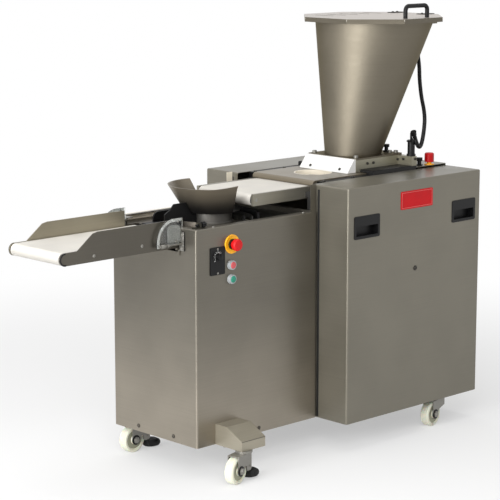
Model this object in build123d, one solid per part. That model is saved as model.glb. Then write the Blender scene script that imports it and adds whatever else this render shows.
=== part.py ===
from build123d import *

import os
from math import acos, cos, pi, radians, sin, tan

# Dough divider and rounder on casters, in millimetres.
# A hopper feeds a shuttle plate that carries dough pieces to a short infeed belt. The belt drops them through
# a funnel into a turning rounding bowl, and the rounded pieces leave on an outfeed belt that tilts up.
# X runs from the outfeed tip to the hopper, the control side faces -Y, and the floor is z = 0.

# Sheet metal, fits and the overrun of cutting solids
SHEET = 2.0
BEND, TOP_BEND = 6.0, 5.0
CROWN_FLAT = 3.0
SHAFT_FIT = 0.05
BUTTON_FIT = 0.3
GAP = 0.4
CUT = 1.0

# Rounder cabinet
CAB_X = (-400.0, 147.0)
CAB_HALF = 205.0
CAB_Z = (100.0, 811.0)
CAB_LIP = 27.0
MOUTH_HALF, MOUTH_SILL = 131.0, 732.0
BEAM_GATE_HALF, BEAM_GATE_TOP = 190.0, 150.0
OUTRIGGER_X, OUTRIGGER_WALL = (-320.0, -216.0), 4.0
OUTRIGGER_REACH, OUTRIGGER_FLAT = 124.0, 54.0
OUTRIGGER_TOP, OUTRIGGER_NOSE = 68.0, 33.0
LIP_SCREWS = ((-318.5, -197.0), (86.0, -198.0))
LATCH_Y, LATCH_HALF, LATCH_RISE = -183.0, 9.0, 10.5
LATCH_STRAP_X, LATCH_STRAP = (-390.0, -364.0), 4.0
LATCH_ROD_R, LATCH_ROD_X, LATCH_GRIP = 3.5, (-380.0, -357.0), 17.0
EAR_X, EAR_TOP = (115.0, 141.0), 903.0

# Base frame and the gearmotors on it
FLOOR_PLATE = 5.0
BEAM_Z = (CAB_Z[0], CAB_Z[0] + 40)
LONG_BEAM_X, LONG_BEAM_Y = (-395.0, 824.0), (130.0, 160.0)
CROSS_HALF = 180.0
FRONT_CROSS_X, REAR_CROSS_X = (160.0, 200.0), (789.0, 824.0)
CASTER_CROSS_X, CASTER_CROSS_HALF = (645.0, 691.0), 334.0
POST_X, POST_Y = ((155.0, 185.0), (794.0, 824.0)), (150.0, 180.0)
TOP_RAIL_Z = (840.0, 870.0)
INFEED_LUG_X, INFEED_LUG_Z = (158.0, 182.0), (850.0, 868.0)
BED_BAR_X, BED_BAR_Z = ((430.0, 450.0), (550.0, 570.0)), (845.0, 865.0)
BED_X, BED_HALF, BED_NOTCH = (428.0, 612.0), 138.0, (582.0, 31.0)
SHUTTLE_SHELF_X, SHUTTLE_SHELF_Z = (560.0, 700.0), (783.0, 795.0)
SHELF_STRAP_X = (600.0, 640.0)
ROUNDER_SHELF_HALF, ROUNDER_SHELF_Z, ROUNDER_LEG = (110.0, 109.0), (508.0, 520.0), 24.0
ROUNDER_MOTOR_R, ROUNDER_MOTOR_Z, ROUNDER_GEARBOX_Z = 60.0, (270.0, 520.0), (520.0, 610.0)
SHUTTLE_MOTOR_R, SHUTTLE_MOTOR_Y, SHUTTLE_MOTOR_Z = 45.0, 64.0, (595.0, 795.0)
KINGPIN_R, KINGPIN_HOLE_R = 8.0, 9.0

# Rounding bowl, tray, funnel and track
BOWL_X = CAB_X[0] + 258
BOWL_RIM_R, BOWL_FLOOR_R, BOWL_WALL = 131.0, 76.0, 6.0
BOWL_Z = (690.0, 783.0)
BOWL_SHAFT_R, BOWL_SHAFT_Z = 15.0, (560.0, 640.0)
BOWL_HUB_R, BOWL_CONE = 34.0, (22.0, 26.0)
TRAY_Z = (786.0, 789.0)
TRAY_OPEN_R, TRAY_INNER_R, TRAY_COLLAR = 135.0, 72.0, (3.0, 14.0)
OPEN_ANGLES = (-42.0, 205.0)
NECK_R, NECK_BORE_R, NECK_FOOT_Z = 66.0, 60.0, 775.0
SHOULDER_R, SHOULDER = 71.0, 4.0
CUP_Z, CUP_R, CUP_WALL = (824.0, 912.0), (92.5, 147.0), 4.0
CUP_CUT_TOP, CUP_CUT_FOOT, CUP_CUT_TURN = 3.0, 22.0, -10.0
CUP_EAR_X, CUP_EAR = (-96.0, -22.0), 10.0
TRACK_R, TRACK_FOOT_Z, TRACK_TOP = (104.0, 110.0), 776.0, (823.0, 797.0)
TRACK_ANGLES, RIM_R, RIM_ANGLES, RIM_TOP = (-42.0, 92.0), (150.0, 157.0), (-42.0, 136.0), 815.0
CHUTE_X, CHUTE_FLOOR_X, CHUTE_FLOOR = (BOWL_X - 212, BOWL_X - 73), BOWL_X - 138, 2.0
FAR_CHEEK_X, FAR_CHEEK_R = BOWL_X - 166, 22.0
NEAR_CHEEK_Y, NEAR_CHEEK_TOP = (-5.0, 0.0), 862.0

# Conveyors
BELT = 2.0
BELT_CLEAR = 0.5
ROLLER_SHAFT_R = 6.0
SPACER_R = 7.0
OUT_TIP_X, OUT_PIVOT_X, OUT_Z = -859.0, -380.0, 767.0
OUT_END_R, OUT_BELT_HALF = 20.0, 119.0
OUT_PLATE = (124.0, 127.0)
OUT_TOP, OUT_WALL_X = 838.0, (-812.0, -415.0)
OUT_CHAMFER_X = (-750.0, -730.0)
OUT_SPACERS = (-740.0, -600.0, -470.0)
PIVOT_R, LUG_Y, LUG_X1, LUG_FOOT = 8.0, (131.5, 137.0), -360.0, 742.0
GUARD_X, GUARD_Y, GUARD_Z, GUARD_R = (-506.0, CAB_X[0]), (138.0, 141.0), (757.0, 845.0), 71.0
GUARD_FLANGE_Y, GUARD_FLANGE_Z = (131.0, 153.0), (738.0, 800.0)
IN_NOSE_X, IN_TAIL_X, IN_BELT_TOP = -90.0, 424.0, 884.0
IN_ROLLER_R, IN_BELT_HALF = 18.0, 125.0
IN_RAIL_Y, IN_RAIL_Z, IN_RAIL_WALL, IN_RAIL_END = (128.0, 138.0), (845.0, 884.5), 3.0, 40.0
IN_SPACERS = (0.0, 140.0, 290.0)

# Divider housing
DIV_X = (149.0, 829.0)
DIV_TOP = 900.0
COVER_OUT, COVER_IN = 345.0, 185.0
CHANNEL_HALF = 184.0
REAR_DECK_Z = (905.0, 907.0)
PULL_SIZE, PULL_PAN, PULL_DEPTH, PULL_WALL = (125.0, 77.0), (110.0, 62.0), 24.0, 2.0
PULL_X, PULL_Z = (DIV_X[0] + 90, DIV_X[0] + 589), 765.0

# Shuttle plate, its rack and its pinion
SHUTTLE_X, SHUTTLE_Z, SHUTTLE_HALF = (185.0, 625.0), (886.0, 903.0), 146.0
SHUTTLE_STROKE, SHUTTLE_NOSE_R = 190.0, 13.0
POCKET_X, POCKET_R = 335.0, 67.0
RAIL_X, RAIL_Z, RAIL_LEDGE_Y = (205.0, 824.0), (870.0, 899.0), 139.5
MODULE, PINION_TEETH, PRESSURE, BACKLASH = 2.5, 24, radians(20), 0.5
PITCH_R = MODULE * PINION_TEETH / 2
RACK_X, RACK_Y, RACK_PITCH_Z = (430.0, 632.0), (95.0, 115.0), 873.0
PINION_X, PINION_Z, PINION_SHAFT_R = 627.0, RACK_PITCH_Z - PITCH_R, 9.0
GEARBOX_Y, GEARBOX_Z, GEARBOX_HALF = (35.0, 93.0), (795.0, 880.0), 40.0

# Head block, wedge, hopper and lid
HEAD_X, HEAD_HALF, HEAD_Z = (428.0, 672.0), 117.0, (904.0, 946.0)
HEAD_FOOT_X, HEAD_FOOT = (448.0, 668.0), 8.0
WEDGE_FOOT_X, WEDGE_CREST = 386.0, 8.0
HOPPER_FLANGE = 6.0
FLANGE_TOP = HEAD_Z[1] + HOPPER_FLANGE
HOPPER_LOW, HOPPER_HIGH = (538.0, 100.0, FLANGE_TOP), (646.0, 213.0, 1430.5)
HOPPER_RIM = (4.0, 5.0)
HINGE_X, HINGE_Z, HINGE_R, PIN_R = 886.0, 1420.0, 8.0, 4.0
ARM_Y, ARM_HALF, ARM_Z = 70.0, 9.0, (1398.0, 1406.0)
KNUCKLE_Y, KNUCKLE_HALF, KNUCKLE = 48.0, 11.0, 6.0
LID_X, LID_APOTHEM, LID_TOP, LID_SKIRT = 632.0, 240.0, 1433.0, 16.0
SLOT_COUNT, SLOT_PITCH, SLOT_X, SLOT_Y = 5, 62.0, 512.0, (75.0, 165.0)
SLOT_WIDTH = 10.0
HANDLE_X, HANDLE_Y, HANDLE_HALF, HANDLE_RISE, HANDLE_R, HANDLE_BEND = 629.5, -207.0, 56.5, 42.0, 7.5, 16.0
SWITCH_X, SWITCH_Y, SWITCH_HALF, SWITCH_Z = (845.0, 875.0), -14.0, 17.0, (1325.0, 1388.0)
SWITCH_ARM_HALF = 12.0
GLAND_R, GLAND = 10.0, 3.0
STUD_R, STUD = 4.0, 5.0
HOPPER_KNOB, REAR_KNOB = (657.0, -52.0), (713.0, -160.0)
HOPPER_KNOB_STEM, HOPPER_KNOB_GRIP, REAR_KNOB_STEM, REAR_KNOB_GRIP = 16.0, 10.0, 16.0, 12.0

# Controls
ESTOP_X, ESTOP_Z, ESTOP_R, ESTOP_STEM_R = CAB_X[0] + 154, 749.0, 19.5, 12.0
REAR_ESTOP, REAR_ESTOP_R, REAR_STEM_R, REAR_RING_R = (757.0, -168.0), 17.0, 8.5, 18.0
BUTTON_X, BUTTON_R, STOP_Z, START_Z = CAB_X[0] + 150, 11.0, 682.0, 636.0
CONTROL_HOLE_R = 15.0
PANEL_X, PANEL_Z, PANEL = (-341.0, -278.0), (657.0, 747.0), 3.0
KNOB_X, KNOB_Z, KNOB_R, KNOB_STEM_R = -309.0, 716.0, 12.0, 4.9
CONTROL_BOX_X, CONTROL_BOX_Y, CONTROL_BOX_Z = (0.0, 130.0), -75.0, (250.0, 560.0)

# Casters: swivel axis, turn about it, brake pedal or not
CASTERS = {
    "rounder_far": (-302.0, 176.0, 0.0, True),
    "rounder_near": (-296.0, -313.0, 14.0, True),
    "divider_near": (668.0, -303.0, 10.0, False),
    "divider_far": (668.0, 303.0, -6.0, False),
}
WHEEL_R, WHEEL_HALF, TRAIL = 44.5, 16.0, 50.0
CROWN_Z, CROWN_R, PLATE_R = (83.0, 93.4), 24.0, 28.0
CROWN_X, CROWN_SHEET = (-62.0, 12.0), 2.9
LEG_Y, AXLE_END, AXLE_HEAD_R, AXLE_LOBE_R = (18.0, 22.0), 28.0, 9.0, 14.0
PEDAL_PIVOT, PEDAL_PIN_R, PEDAL_HALF = (4.0, 50.0), 3.5, 16.5
SHOE_AT, SHOE_SIZE = (24.0, 0.0), (39.0, 25.0)

# Conduit of the lid switch, its post and its end fitting
CONDUIT_R, CONDUIT_BORE_R = 7.4, 5.2
RIB_PITCH, RIB_DEPTH = 4.0, 1.2
CONDUIT_TURN = 0.82
CONDUIT_ROUTE = [
    (860.0, -14.0, 1322.0), (860.0, -14.0, 1303.0), (860.0, -18.0, 1281.0), (857.0, -25.0, 1258.0),
    (848.0, -36.0, 1232.0), (833.0, -50.0, 1205.0), (818.5, -67.0, 1172.0), (807.0, -84.0, 1135.0),
    (801.0, -101.0, 1097.0), (789.0, -117.0, 1062.0), (764.0, -135.0, 1025.0), (734.0, -154.0, 992.0),
    (705.0, -170.0, 974.0), (680.0, -181.0, 979.0), (660.0, -187.0, 1002.0), (648.0, -190.0, 1024.0),
]
SLEEVE_R, SLEEVE, COLLAR_R, COLLAR = 9.0, 10.0, 10.5, 4.0
POST_AT, POST_R, POST_Z, POST_FOOT = (662.0, -165.0), 13.0, (HEAD_Z[1], 1003.0), 7.0
POST_ARM = 4.0


def block(x, y, z):
    """A box given by its lowest and highest x, y and z."""
    size = [high - low for low, high in (x, y, z)]
    middle = [(high + low) / 2 for low, high in (x, y, z)]
    return Pos(*middle) * Box(*size)


def both(x, y, z):
    """A box and its mirror image across the centre plane y = 0."""
    return block(x, y, z) + block(x, (-y[1], -y[0]), z)


def span(half):
    """The stretch from minus half to plus half."""
    return -half, half


def inset(stretch, by):
    """A stretch drawn in by the same amount at both ends."""
    return stretch[0] + by, stretch[1] - by


def about(middle, half):
    """The stretch of a half width about a middle."""
    return middle - half, middle + half


def upright(x, y, z, radius):
    """A vertical cylinder between two heights."""
    return Pos(x, y, (z[0] + z[1]) / 2) * Cylinder(radius, z[1] - z[0])


def across(x, y, z, radius):
    """A cylinder along Y between two places."""
    return Pos(x, (y[0] + y[1]) / 2, z) * Rot(90, 0, 0) * Cylinder(radius, y[1] - y[0])


def along(x, y, z, radius):
    """A cylinder along X between two places."""
    return Pos((x[0] + x[1]) / 2, y, z) * Rot(0, 90, 0) * Cylinder(radius, x[1] - x[0])


def slab(points, y):
    """A polygon given in X and Z, as a plate between two places on Y."""
    outline = Polyline(*[(px, y[0], pz) for px, pz in points], close=True)
    return extrude(make_face(outline), amount=y[1] - y[0], dir=(0, 1, 0))


def spun(profile, x, y):
    """A closed outline of radius and height, turned about a vertical axis."""
    outline = Polyline(*[(r, 0, z) for r, z in profile], close=True)
    return Pos(x, y, 0) * revolve(make_face(outline), Axis.Z)


def spun_forward(profile, x, z):
    """A closed outline of radius and reach from the control wall, turned about an axis along -Y."""
    outline = Polyline(*[(r, -CAB_HALF - reach, 0) for r, reach in profile], close=True)
    return Pos(x, 0, z) * revolve(make_face(outline), Axis.Y)


def mirrored(shape):
    """The same shape on the other side of the centre plane."""
    return mirror(shape, Plane.XZ)


# Rounder cabinet and base

def rounder_cabinet():
    """Folded cabinet, open below, with a lip round its top, two ears, a mouth and the latch strap."""
    outer = block(CAB_X, span(CAB_HALF), CAB_Z)
    outer = fillet(outer.edges().filter_by(Axis.Z), BEND)
    outer = fillet(outer.faces().sort_by(Axis.Z)[-1].edges(), TOP_BEND)
    inner = block(inset(CAB_X, SHEET), span(CAB_HALF - SHEET), (CAB_Z[0] - CUT, CAB_Z[1] - SHEET))
    inner = fillet(inner.edges().filter_by(Axis.Z), BEND - SHEET)
    inner = fillet(inner.faces().sort_by(Axis.Z)[-1].edges(), TOP_BEND - SHEET)
    top = CAB_Z[1] + CUT
    shell = outer - inner
    shell -= block(inset(CAB_X, CAB_LIP), span(CAB_HALF - CAB_LIP), (CAB_Z[1] - 2 * SHEET, top))
    shell -= block((CAB_X[0] - CUT, CAB_X[0] + CAB_LIP + CUT), span(MOUTH_HALF), (MOUTH_SILL, top))
    gate_x = (CAB_X[1] - CAB_LIP, CAB_X[1] + CUT)
    shell -= block(gate_x, span(BEAM_GATE_HALF), (CAB_Z[0] - CUT, BEAM_GATE_TOP))
    wall = (-CAB_HALF - CUT, -CAB_HALF + SHEET + CUT)
    shell -= across(ESTOP_X, wall, ESTOP_Z, CONTROL_HOLE_R)
    for z in (STOP_Z, START_Z):
        shell -= across(BUTTON_X, wall, z, CONTROL_HOLE_R)
    shell -= across(KNOB_X, wall, KNOB_Z, KNOB_STEM_R + CUT)
    shell += both(EAR_X, (CAB_HALF - SHEET, CAB_HALF), (CAB_Z[1] - 2 * BEND, EAR_TOP))
    return shell + outfeed_stops() + latch_strap()


def outfeed_stops():
    """Two folded lugs below the cabinet's mouth, on which the outfeed plates rest."""
    width = (OUT_PLATE[0] - SHEET, OUT_PLATE[1] + 3)
    rest = OUT_Z - OUT_END_R - GAP
    seat = both((CAB_X[0] - 13, CAB_X[0] + CUT), width, (rest - 6.6, rest))
    return seat + both((CAB_X[0] - 3, CAB_X[0] + CUT), width, (MOUTH_SILL - 10, rest - 5))


def latch_strap():
    """Strap on the cabinet's lip with an upstand that carries the latch rod."""
    width, top = about(LATCH_Y, LATCH_HALF), CAB_Z[1]
    strap = block(LATCH_STRAP_X, width, (top, top + LATCH_STRAP))
    upstand = (LATCH_STRAP_X[1] - 6, LATCH_STRAP_X[1])
    strap += block(upstand, width, (top, top + LATCH_RISE + 7))
    return strap - along(inset(upstand, -CUT), LATCH_Y, top + LATCH_RISE, LATCH_ROD_R + SHAFT_FIT)


def outrigger():
    """Folded bracket on the control side that carries a caster outside the cabinet."""
    base, wall = CAB_Z[0], OUTRIGGER_WALL
    root, flat, reach = -CAB_HALF, -CAB_HALF - OUTRIGGER_FLAT, -CAB_HALF - OUTRIGGER_REACH
    top, nose = base + OUTRIGGER_TOP, base + OUTRIGGER_NOSE
    section = [(root, base), (root, top), (flat, top), (reach, nose), (reach, base)]
    hollow = [(root, base + wall), (root, top - wall), (flat, top - wall), (reach + wall, nose - wall),
              (reach + wall, base + wall)]

    def folded(points, x):
        outline = Polyline(*[(x[0], py, pz) for py, pz in points], close=True)
        return extrude(make_face(outline), amount=x[1] - x[0], dir=(1, 0, 0))

    body = folded(section, OUTRIGGER_X) - folded(hollow, inset(OUTRIGGER_X, wall))
    pin_x, pin_y = CASTERS["rounder_near"][:2]
    return body - upright(pin_x, pin_y, (base - CUT, base + 20), KINGPIN_HOLE_R)


def base_frame():
    """Welded frame under both housings, with two motor shelves and the bed under the shuttle."""
    floor = (BEAM_Z[0], BEAM_Z[0] + FLOOR_PLATE)
    frame = block(inset(CAB_X, 2 * SHEET), span(CAB_HALF - 2 * SHEET), floor)
    frame += both(LONG_BEAM_X, LONG_BEAM_Y, (floor[1], BEAM_Z[1]))
    frame += block(FRONT_CROSS_X, span(CROSS_HALF), BEAM_Z)
    frame += block(REAR_CROSS_X, span(CROSS_HALF), BEAM_Z)
    frame += block(CASTER_CROSS_X, span(CASTER_CROSS_HALF), BEAM_Z)
    for x in POST_X:
        frame += both(x, POST_Y, (BEAM_Z[1], TOP_RAIL_Z[1]))
    frame += both((POST_X[0][0], POST_X[1][1]), POST_Y, TOP_RAIL_Z)
    frame += both(INFEED_LUG_X, (IN_RAIL_Y[1], POST_Y[0]), INFEED_LUG_Z)
    for x in BED_BAR_X:
        frame += block(x, span(POST_Y[0]), BED_BAR_Z)
    frame += shuttle_shelf() + rounder_shelf(floor[1]) + bed_plate()
    for name in ("rounder_far", "divider_near", "divider_far"):
        x, y = CASTERS[name][:2]
        frame -= upright(x, y, (BEAM_Z[0] - CUT, BEAM_Z[0] + 20), KINGPIN_HOLE_R)
    return frame


def shuttle_shelf():
    """Shelf hung from the top rails, with the hole that the shuttle's motor hangs through."""
    shelf = block(SHUTTLE_SHELF_X, span(POST_Y[0]), SHUTTLE_SHELF_Z)
    shelf += both(SHELF_STRAP_X, (POST_Y[0], POST_Y[0] + 10), (SHUTTLE_SHELF_Z[0], TOP_RAIL_Z[0] + 10))
    return shelf - upright(PINION_X, SHUTTLE_MOTOR_Y, inset(SHUTTLE_SHELF_Z, -CUT), SHUTTLE_MOTOR_R + CUT)


def rounder_shelf(floor):
    """Shelf on four legs under the bowl, with the hole that the rounder's motor hangs through."""
    x_half, y_half = ROUNDER_SHELF_HALF
    shelf = block(about(BOWL_X, x_half), span(y_half), ROUNDER_SHELF_Z)
    legs_y = (y_half - ROUNDER_LEG, y_half)
    shelf += both((BOWL_X - x_half, BOWL_X - x_half + ROUNDER_LEG), legs_y, (floor, ROUNDER_SHELF_Z[0]))
    shelf += both((BOWL_X + x_half - ROUNDER_LEG, BOWL_X + x_half), legs_y, (floor, ROUNDER_SHELF_Z[0]))
    return shelf - upright(BOWL_X, 0, inset(ROUNDER_SHELF_Z, -CUT), ROUNDER_MOTOR_R + 2 * CUT)


def bed_plate():
    """Bed under the hopper's outlet, which closes the shuttle's pocket from below, slotted for the rack."""
    top = SHUTTLE_Z[0] - 0.5
    bed = block(BED_X, span(BED_HALF), (BED_BAR_Z[1], top))
    notch_x, notch_y = BED_NOTCH
    tall = (BED_BAR_Z[1] - CUT, top + CUT)
    bed -= block((notch_x, BED_X[1] + CUT), (notch_y, BED_HALF + CUT), tall)
    return bed - block(inset(BED_X, -CUT), inset(RACK_Y, -2), tall)


# Rounding bowl, tray, funnel and track

def sector(angles, radius, z):
    """A solid sector about the bowl's axis that reaches past a radius."""
    first, last = angles
    sides = 12
    step = radians(last - first) / sides
    reach = radius / cos(step / 2)
    angles = [radians(first) + step * i for i in range(sides + 1)]
    ring = [(reach * cos(a), reach * sin(a), z[0]) for a in angles]
    face = make_face(Polyline((0, 0, z[0]), *ring, close=True))
    return Pos(BOWL_X, 0, 0) * extrude(face, amount=z[1] - z[0], dir=(0, 0, 1))


def ring_sector(angles, inner, outer, z):
    """A piece of a round wall about the bowl's axis."""
    ring = upright(BOWL_X, 0, z, outer) - upright(BOWL_X, 0, inset(z, -CUT), inner)
    return ring & sector(angles, outer + 20, z)


def rounder_tray():
    """Tray in the cabinet's top, open round the funnel's neck, with a collar and the outfeed's pivot lugs."""
    rim = SHEET + 0.3
    through = inset(TRAY_Z, -CUT)
    tray = block(inset(CAB_X, rim), span(CAB_HALF - rim), TRAY_Z)
    tray = fillet(tray.edges().filter_by(Axis.Z), BEND)
    tray -= ring_sector(OPEN_ANGLES, TRAY_INNER_R, TRAY_OPEN_R, through)
    tray -= upright(BOWL_X, 0, through, NECK_R + GAP)
    tray -= block((CAB_X[0], OUT_PIVOT_X + OUT_END_R + 4), span(MOUTH_HALF), through)
    collar, rise = TRAY_COLLAR
    tray += ring_sector(OPEN_ANGLES, TRAY_OPEN_R - collar, TRAY_OPEN_R, (TRAY_Z[0], TRAY_Z[1] + rise))
    gate = (NEAR_CHEEK_Y[0] - SHEET, TRACK_R[1] + SHEET)
    tray -= block((CAB_X[0], BOWL_X), gate, (TRAY_Z[1], TRAY_Z[1] + rise + CUT))
    tray += both((CAB_X[0] + rim, LUG_X1), LUG_Y, (LUG_FOOT, TRAY_Z[0] + CUT))
    return tray - across(OUT_PIVOT_X, span(CAB_HALF), OUT_Z, PIVOT_R + SHAFT_FIT)


def rounding_bowl():
    """Turning conical bowl with its hub and drive shaft."""
    low, high = BOWL_Z
    foot, hub = BOWL_SHAFT_Z
    cone_r, cone_rise = BOWL_CONE
    profile = [
        (0, foot), (BOWL_SHAFT_R, foot), (BOWL_SHAFT_R, hub), (BOWL_HUB_R, hub), (BOWL_HUB_R, low),
        (BOWL_FLOOR_R, low), (BOWL_RIM_R, high), (BOWL_RIM_R - BOWL_WALL, high),
        (BOWL_FLOOR_R - BOWL_WALL, low + BOWL_WALL), (cone_r, low + BOWL_WALL), (CROWN_FLAT, low + cone_rise),
        (0, low + cone_rise),
    ]
    return spun(profile, BOWL_X, 0)


def feed_funnel():
    """Spun funnel: a straight neck that stands in the tray, and a cup cut away for the infeed belt."""
    (low, high), (foot_r, rim_r) = CUP_Z, CUP_R
    seat, lip = TRAY_Z[1], high + CUP_EAR + CUT
    lip_r = rim_r + (rim_r - foot_r) * (lip - high) / (high - low)
    profile = [
        (NECK_BORE_R, NECK_FOOT_Z), (NECK_R, NECK_FOOT_Z), (NECK_R, seat), (SHOULDER_R, seat),
        (SHOULDER_R, seat + SHOULDER), (NECK_R, seat + SHOULDER), (NECK_R, low), (foot_r, low), (lip_r, lip),
        (lip_r - CUP_WALL, lip), (foot_r - CUP_WALL / 2, low + CUP_WALL), (NECK_BORE_R, low + CUP_WALL),
    ]
    reach, over = 2 * rim_r, lip + CUT
    ear, tip = CUP_EAR_X
    face = [(CUP_CUT_TOP, over), (CUP_CUT_TOP, high), (CUP_CUT_FOOT, low + CUP_WALL)]
    open_side = slab(face + [(reach, low + CUP_WALL), (reach, over)], span(reach))
    far_top = block((-reach, reach), (0, reach), (high, over))
    slope = [(-reach, high), (ear, high), (tip, high + CUP_EAR), (reach, high + CUP_EAR)]
    near_top = slab(slope + [(reach, over), (-reach, over)], (-reach, 0))
    cut = Rot(0, 0, CUP_CUT_TURN) * open_side + far_top + near_top
    return spun(profile, BOWL_X, 0) - Pos(BOWL_X, 0, 0) * cut


def spiral_track():
    """Fixed track wall and rim round the neck, with two cheeks that lead the dough out."""
    inner, outer = TRACK_R
    seat, (high, low) = TRAY_Z[1], TRACK_TOP
    wall = ring_sector(TRACK_ANGLES, inner, outer, (TRACK_FOOT_Z, high))
    right = BOWL_X + outer
    wall -= slab([(BOWL_X, high), (right, low), (right + CUT, low), (right + CUT, high)], span(outer))
    rim = ring_sector(RIM_ANGLES, *RIM_R, (seat, RIM_TOP))
    far = block((FAR_CHEEK_X, BOWL_X), TRACK_R, (seat, high))
    corner = far.edges().filter_by(Axis.Y).sort_by(Axis.X)[:2].sort_by(Axis.Z)[-1]
    far = fillet(corner, FAR_CHEEK_R)
    (x0, x1), top = CHUTE_X, NEAR_CHEEK_TOP
    slope = [(x0, top - 30), (x0 + 24, top - 17), (x0 + 40, top)]
    near = slab([(x0, seat)] + slope + [(x1, top), (x1, seat)], NEAR_CHEEK_Y)
    floor = block((x0, CHUTE_FLOOR_X), (NEAR_CHEEK_Y[0], outer), (seat, seat + CHUTE_FLOOR))
    return wall + rim + far + near + floor - funnel_room()


def funnel_room():
    """The space that the funnel takes up, with room to spare."""
    (low, high), (foot_r, rim_r) = CUP_Z, CUP_R
    room = upright(BOWL_X, 0, (TRACK_FOOT_Z - CUT, low), SHOULDER_R + 3)
    return room + Pos(BOWL_X, 0, (low + high) / 2 - 2) * Cone(foot_r + 3, rim_r + 3, high - low)


def rounder_motor():
    """Vertical gearmotor under the bowl, whose hollow output takes the bowl's shaft."""
    box = block(about(BOWL_X, 62), span(58), ROUNDER_GEARBOX_Z)
    box = fillet(box.edges().filter_by(Axis.Z), 10)
    foot, top = ROUNDER_MOTOR_Z
    motor = upright(BOWL_X, 0, (foot + 20, top), ROUNDER_MOTOR_R)
    motor += upright(BOWL_X, 0, (foot, foot + 20), ROUNDER_MOTOR_R - 8)
    terminals = block(about(BOWL_X, 30), (-84, -50), (380, 450))
    socket = upright(BOWL_X, 0, (BOWL_SHAFT_Z[0] - 5, ROUNDER_GEARBOX_Z[1] + CUT), BOWL_SHAFT_R + SHAFT_FIT)
    return box + motor + terminals - socket


# Conveyors

def roller(x, z, radius, half, shaft_half):
    """A roller with its shaft ends."""
    return across(x, span(half), z, radius) + across(x, span(shaft_half), z, ROLLER_SHAFT_R)


def belt_loop(x, z, radius, half):
    """A belt round two rollers whose axes are at the two places on X."""
    def loop(r, reach):
        ends = across(x[0], span(reach), z, r) + across(x[1], span(reach), z, r)
        return ends + block(x, span(reach), about(z, r))
    return loop(radius, half) - loop(radius - BELT, half + CUT)


def outfeed_sides():
    """Two side plates with raised walls and pivot pins, and the slider bed and spacers between them."""
    low, mid = about(OUT_Z, OUT_END_R)
    far, near = OUT_WALL_X
    raised = [(near, low), (near, OUT_TOP), (OUT_CHAMFER_X[1], OUT_TOP), (OUT_CHAMFER_X[0], OUT_TOP - 4),
              (far, mid), (far, low)]
    plate = slab(raised, OUT_PLATE) + block((OUT_TIP_X, OUT_PIVOT_X), OUT_PLATE, (low, mid))
    for x in (OUT_TIP_X, OUT_PIVOT_X):
        plate += across(x, OUT_PLATE, OUT_Z, OUT_END_R)
    plate += across(OUT_PIVOT_X, (OUT_PLATE[1] - CUT, LUG_Y[1] - 0.5), OUT_Z, PIVOT_R)
    sides = plate + mirrored(plate)
    bed_top = mid - BELT - 2 * BELT_CLEAR
    bed_x = inset((OUT_TIP_X, OUT_PIVOT_X), OUT_END_R + 15)
    sides += block(bed_x, span(OUT_PLATE[0]), (bed_top - 3, bed_top))
    for x in OUT_SPACERS:
        sides += across(x, span(OUT_PLATE[0]), OUT_Z, SPACER_R)
    for x, half in ((OUT_TIP_X, OUT_PLATE[1] - CUT), (OUT_PIVOT_X, CAB_HALF)):
        sides -= across(x, span(half), OUT_Z, ROLLER_SHAFT_R + SHAFT_FIT)
    return sides


def infeed_rails():
    """Two channel rails, the slider bed and the spacers of the infeed conveyor."""
    ends = (IN_NOSE_X + 5, IN_TAIL_X - 2)
    inner = (IN_RAIL_Y[0] - CUT, IN_RAIL_Y[1] - IN_RAIL_WALL)
    rails = both(ends, IN_RAIL_Y, IN_RAIL_Z) - both(ends, inner, inset(IN_RAIL_Z, IN_RAIL_WALL))
    rails += both((ends[0], ends[0] + IN_RAIL_END), IN_RAIL_Y, IN_RAIL_Z)
    rails += both((ends[1] - IN_RAIL_END, ends[1]), IN_RAIL_Y, IN_RAIL_Z)
    bed_top = IN_BELT_TOP - BELT - BELT_CLEAR
    bed_x, bed_half = inset(IN_AXLES, IN_ROLLER_R + 6), IN_RAIL_Y[1] - CUT
    rails += block(bed_x, span(bed_half), (bed_top - 3, bed_top))
    for x in IN_SPACERS:
        rails += across(x, span(bed_half), IN_AXLE_Z, SPACER_R)
    for x in IN_AXLES:
        rails -= across(x, span(CAB_HALF), IN_AXLE_Z, ROLLER_SHAFT_R + SHAFT_FIT)
    return rails


def side_guards():
    """Two clear round-cornered guards that close the gap between the outfeed conveyor and the cabinet."""
    guard = block(GUARD_X, GUARD_Y, GUARD_Z)
    corner = guard.edges().filter_by(Axis.Y).sort_by(Axis.X)[:2].sort_by(Axis.Z)[-1]
    guard = fillet(corner, GUARD_R)
    guard += block((GUARD_X[1] - 4, GUARD_X[1]), GUARD_FLANGE_Y, GUARD_FLANGE_Z)
    return guard + mirrored(guard)


# Divider

def side_cover():
    """Folded cover of the control side: outer face, top, front and rear, open inwards and below."""
    outer = block(DIV_X, (-COVER_OUT, -COVER_IN), (CAB_Z[0], DIV_TOP))
    outer = fillet(outer.edges().filter_by(Axis.Z).sort_by(Axis.Y)[:2], BEND)
    outer = fillet(outer.faces().sort_by(Axis.Z)[-1].edges().sort_by(Axis.Y)[:-1], TOP_BEND)
    room_z = (CAB_Z[0] - CUT, DIV_TOP - SHEET)
    room = block(inset(DIV_X, SHEET), (-COVER_OUT + SHEET, -COVER_IN + CUT), room_z)
    room = fillet(room.edges().filter_by(Axis.Z).sort_by(Axis.Y)[:2], BEND - SHEET)
    cover = outer - room
    half_w, half_h = PULL_SIZE[0] / 2 - BEND, PULL_SIZE[1] / 2 - BEND
    for x in PULL_X:
        cover -= block(about(x, half_w), about(-COVER_OUT, 2 * SHEET), about(PULL_Z, half_h))
    return cover


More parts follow.
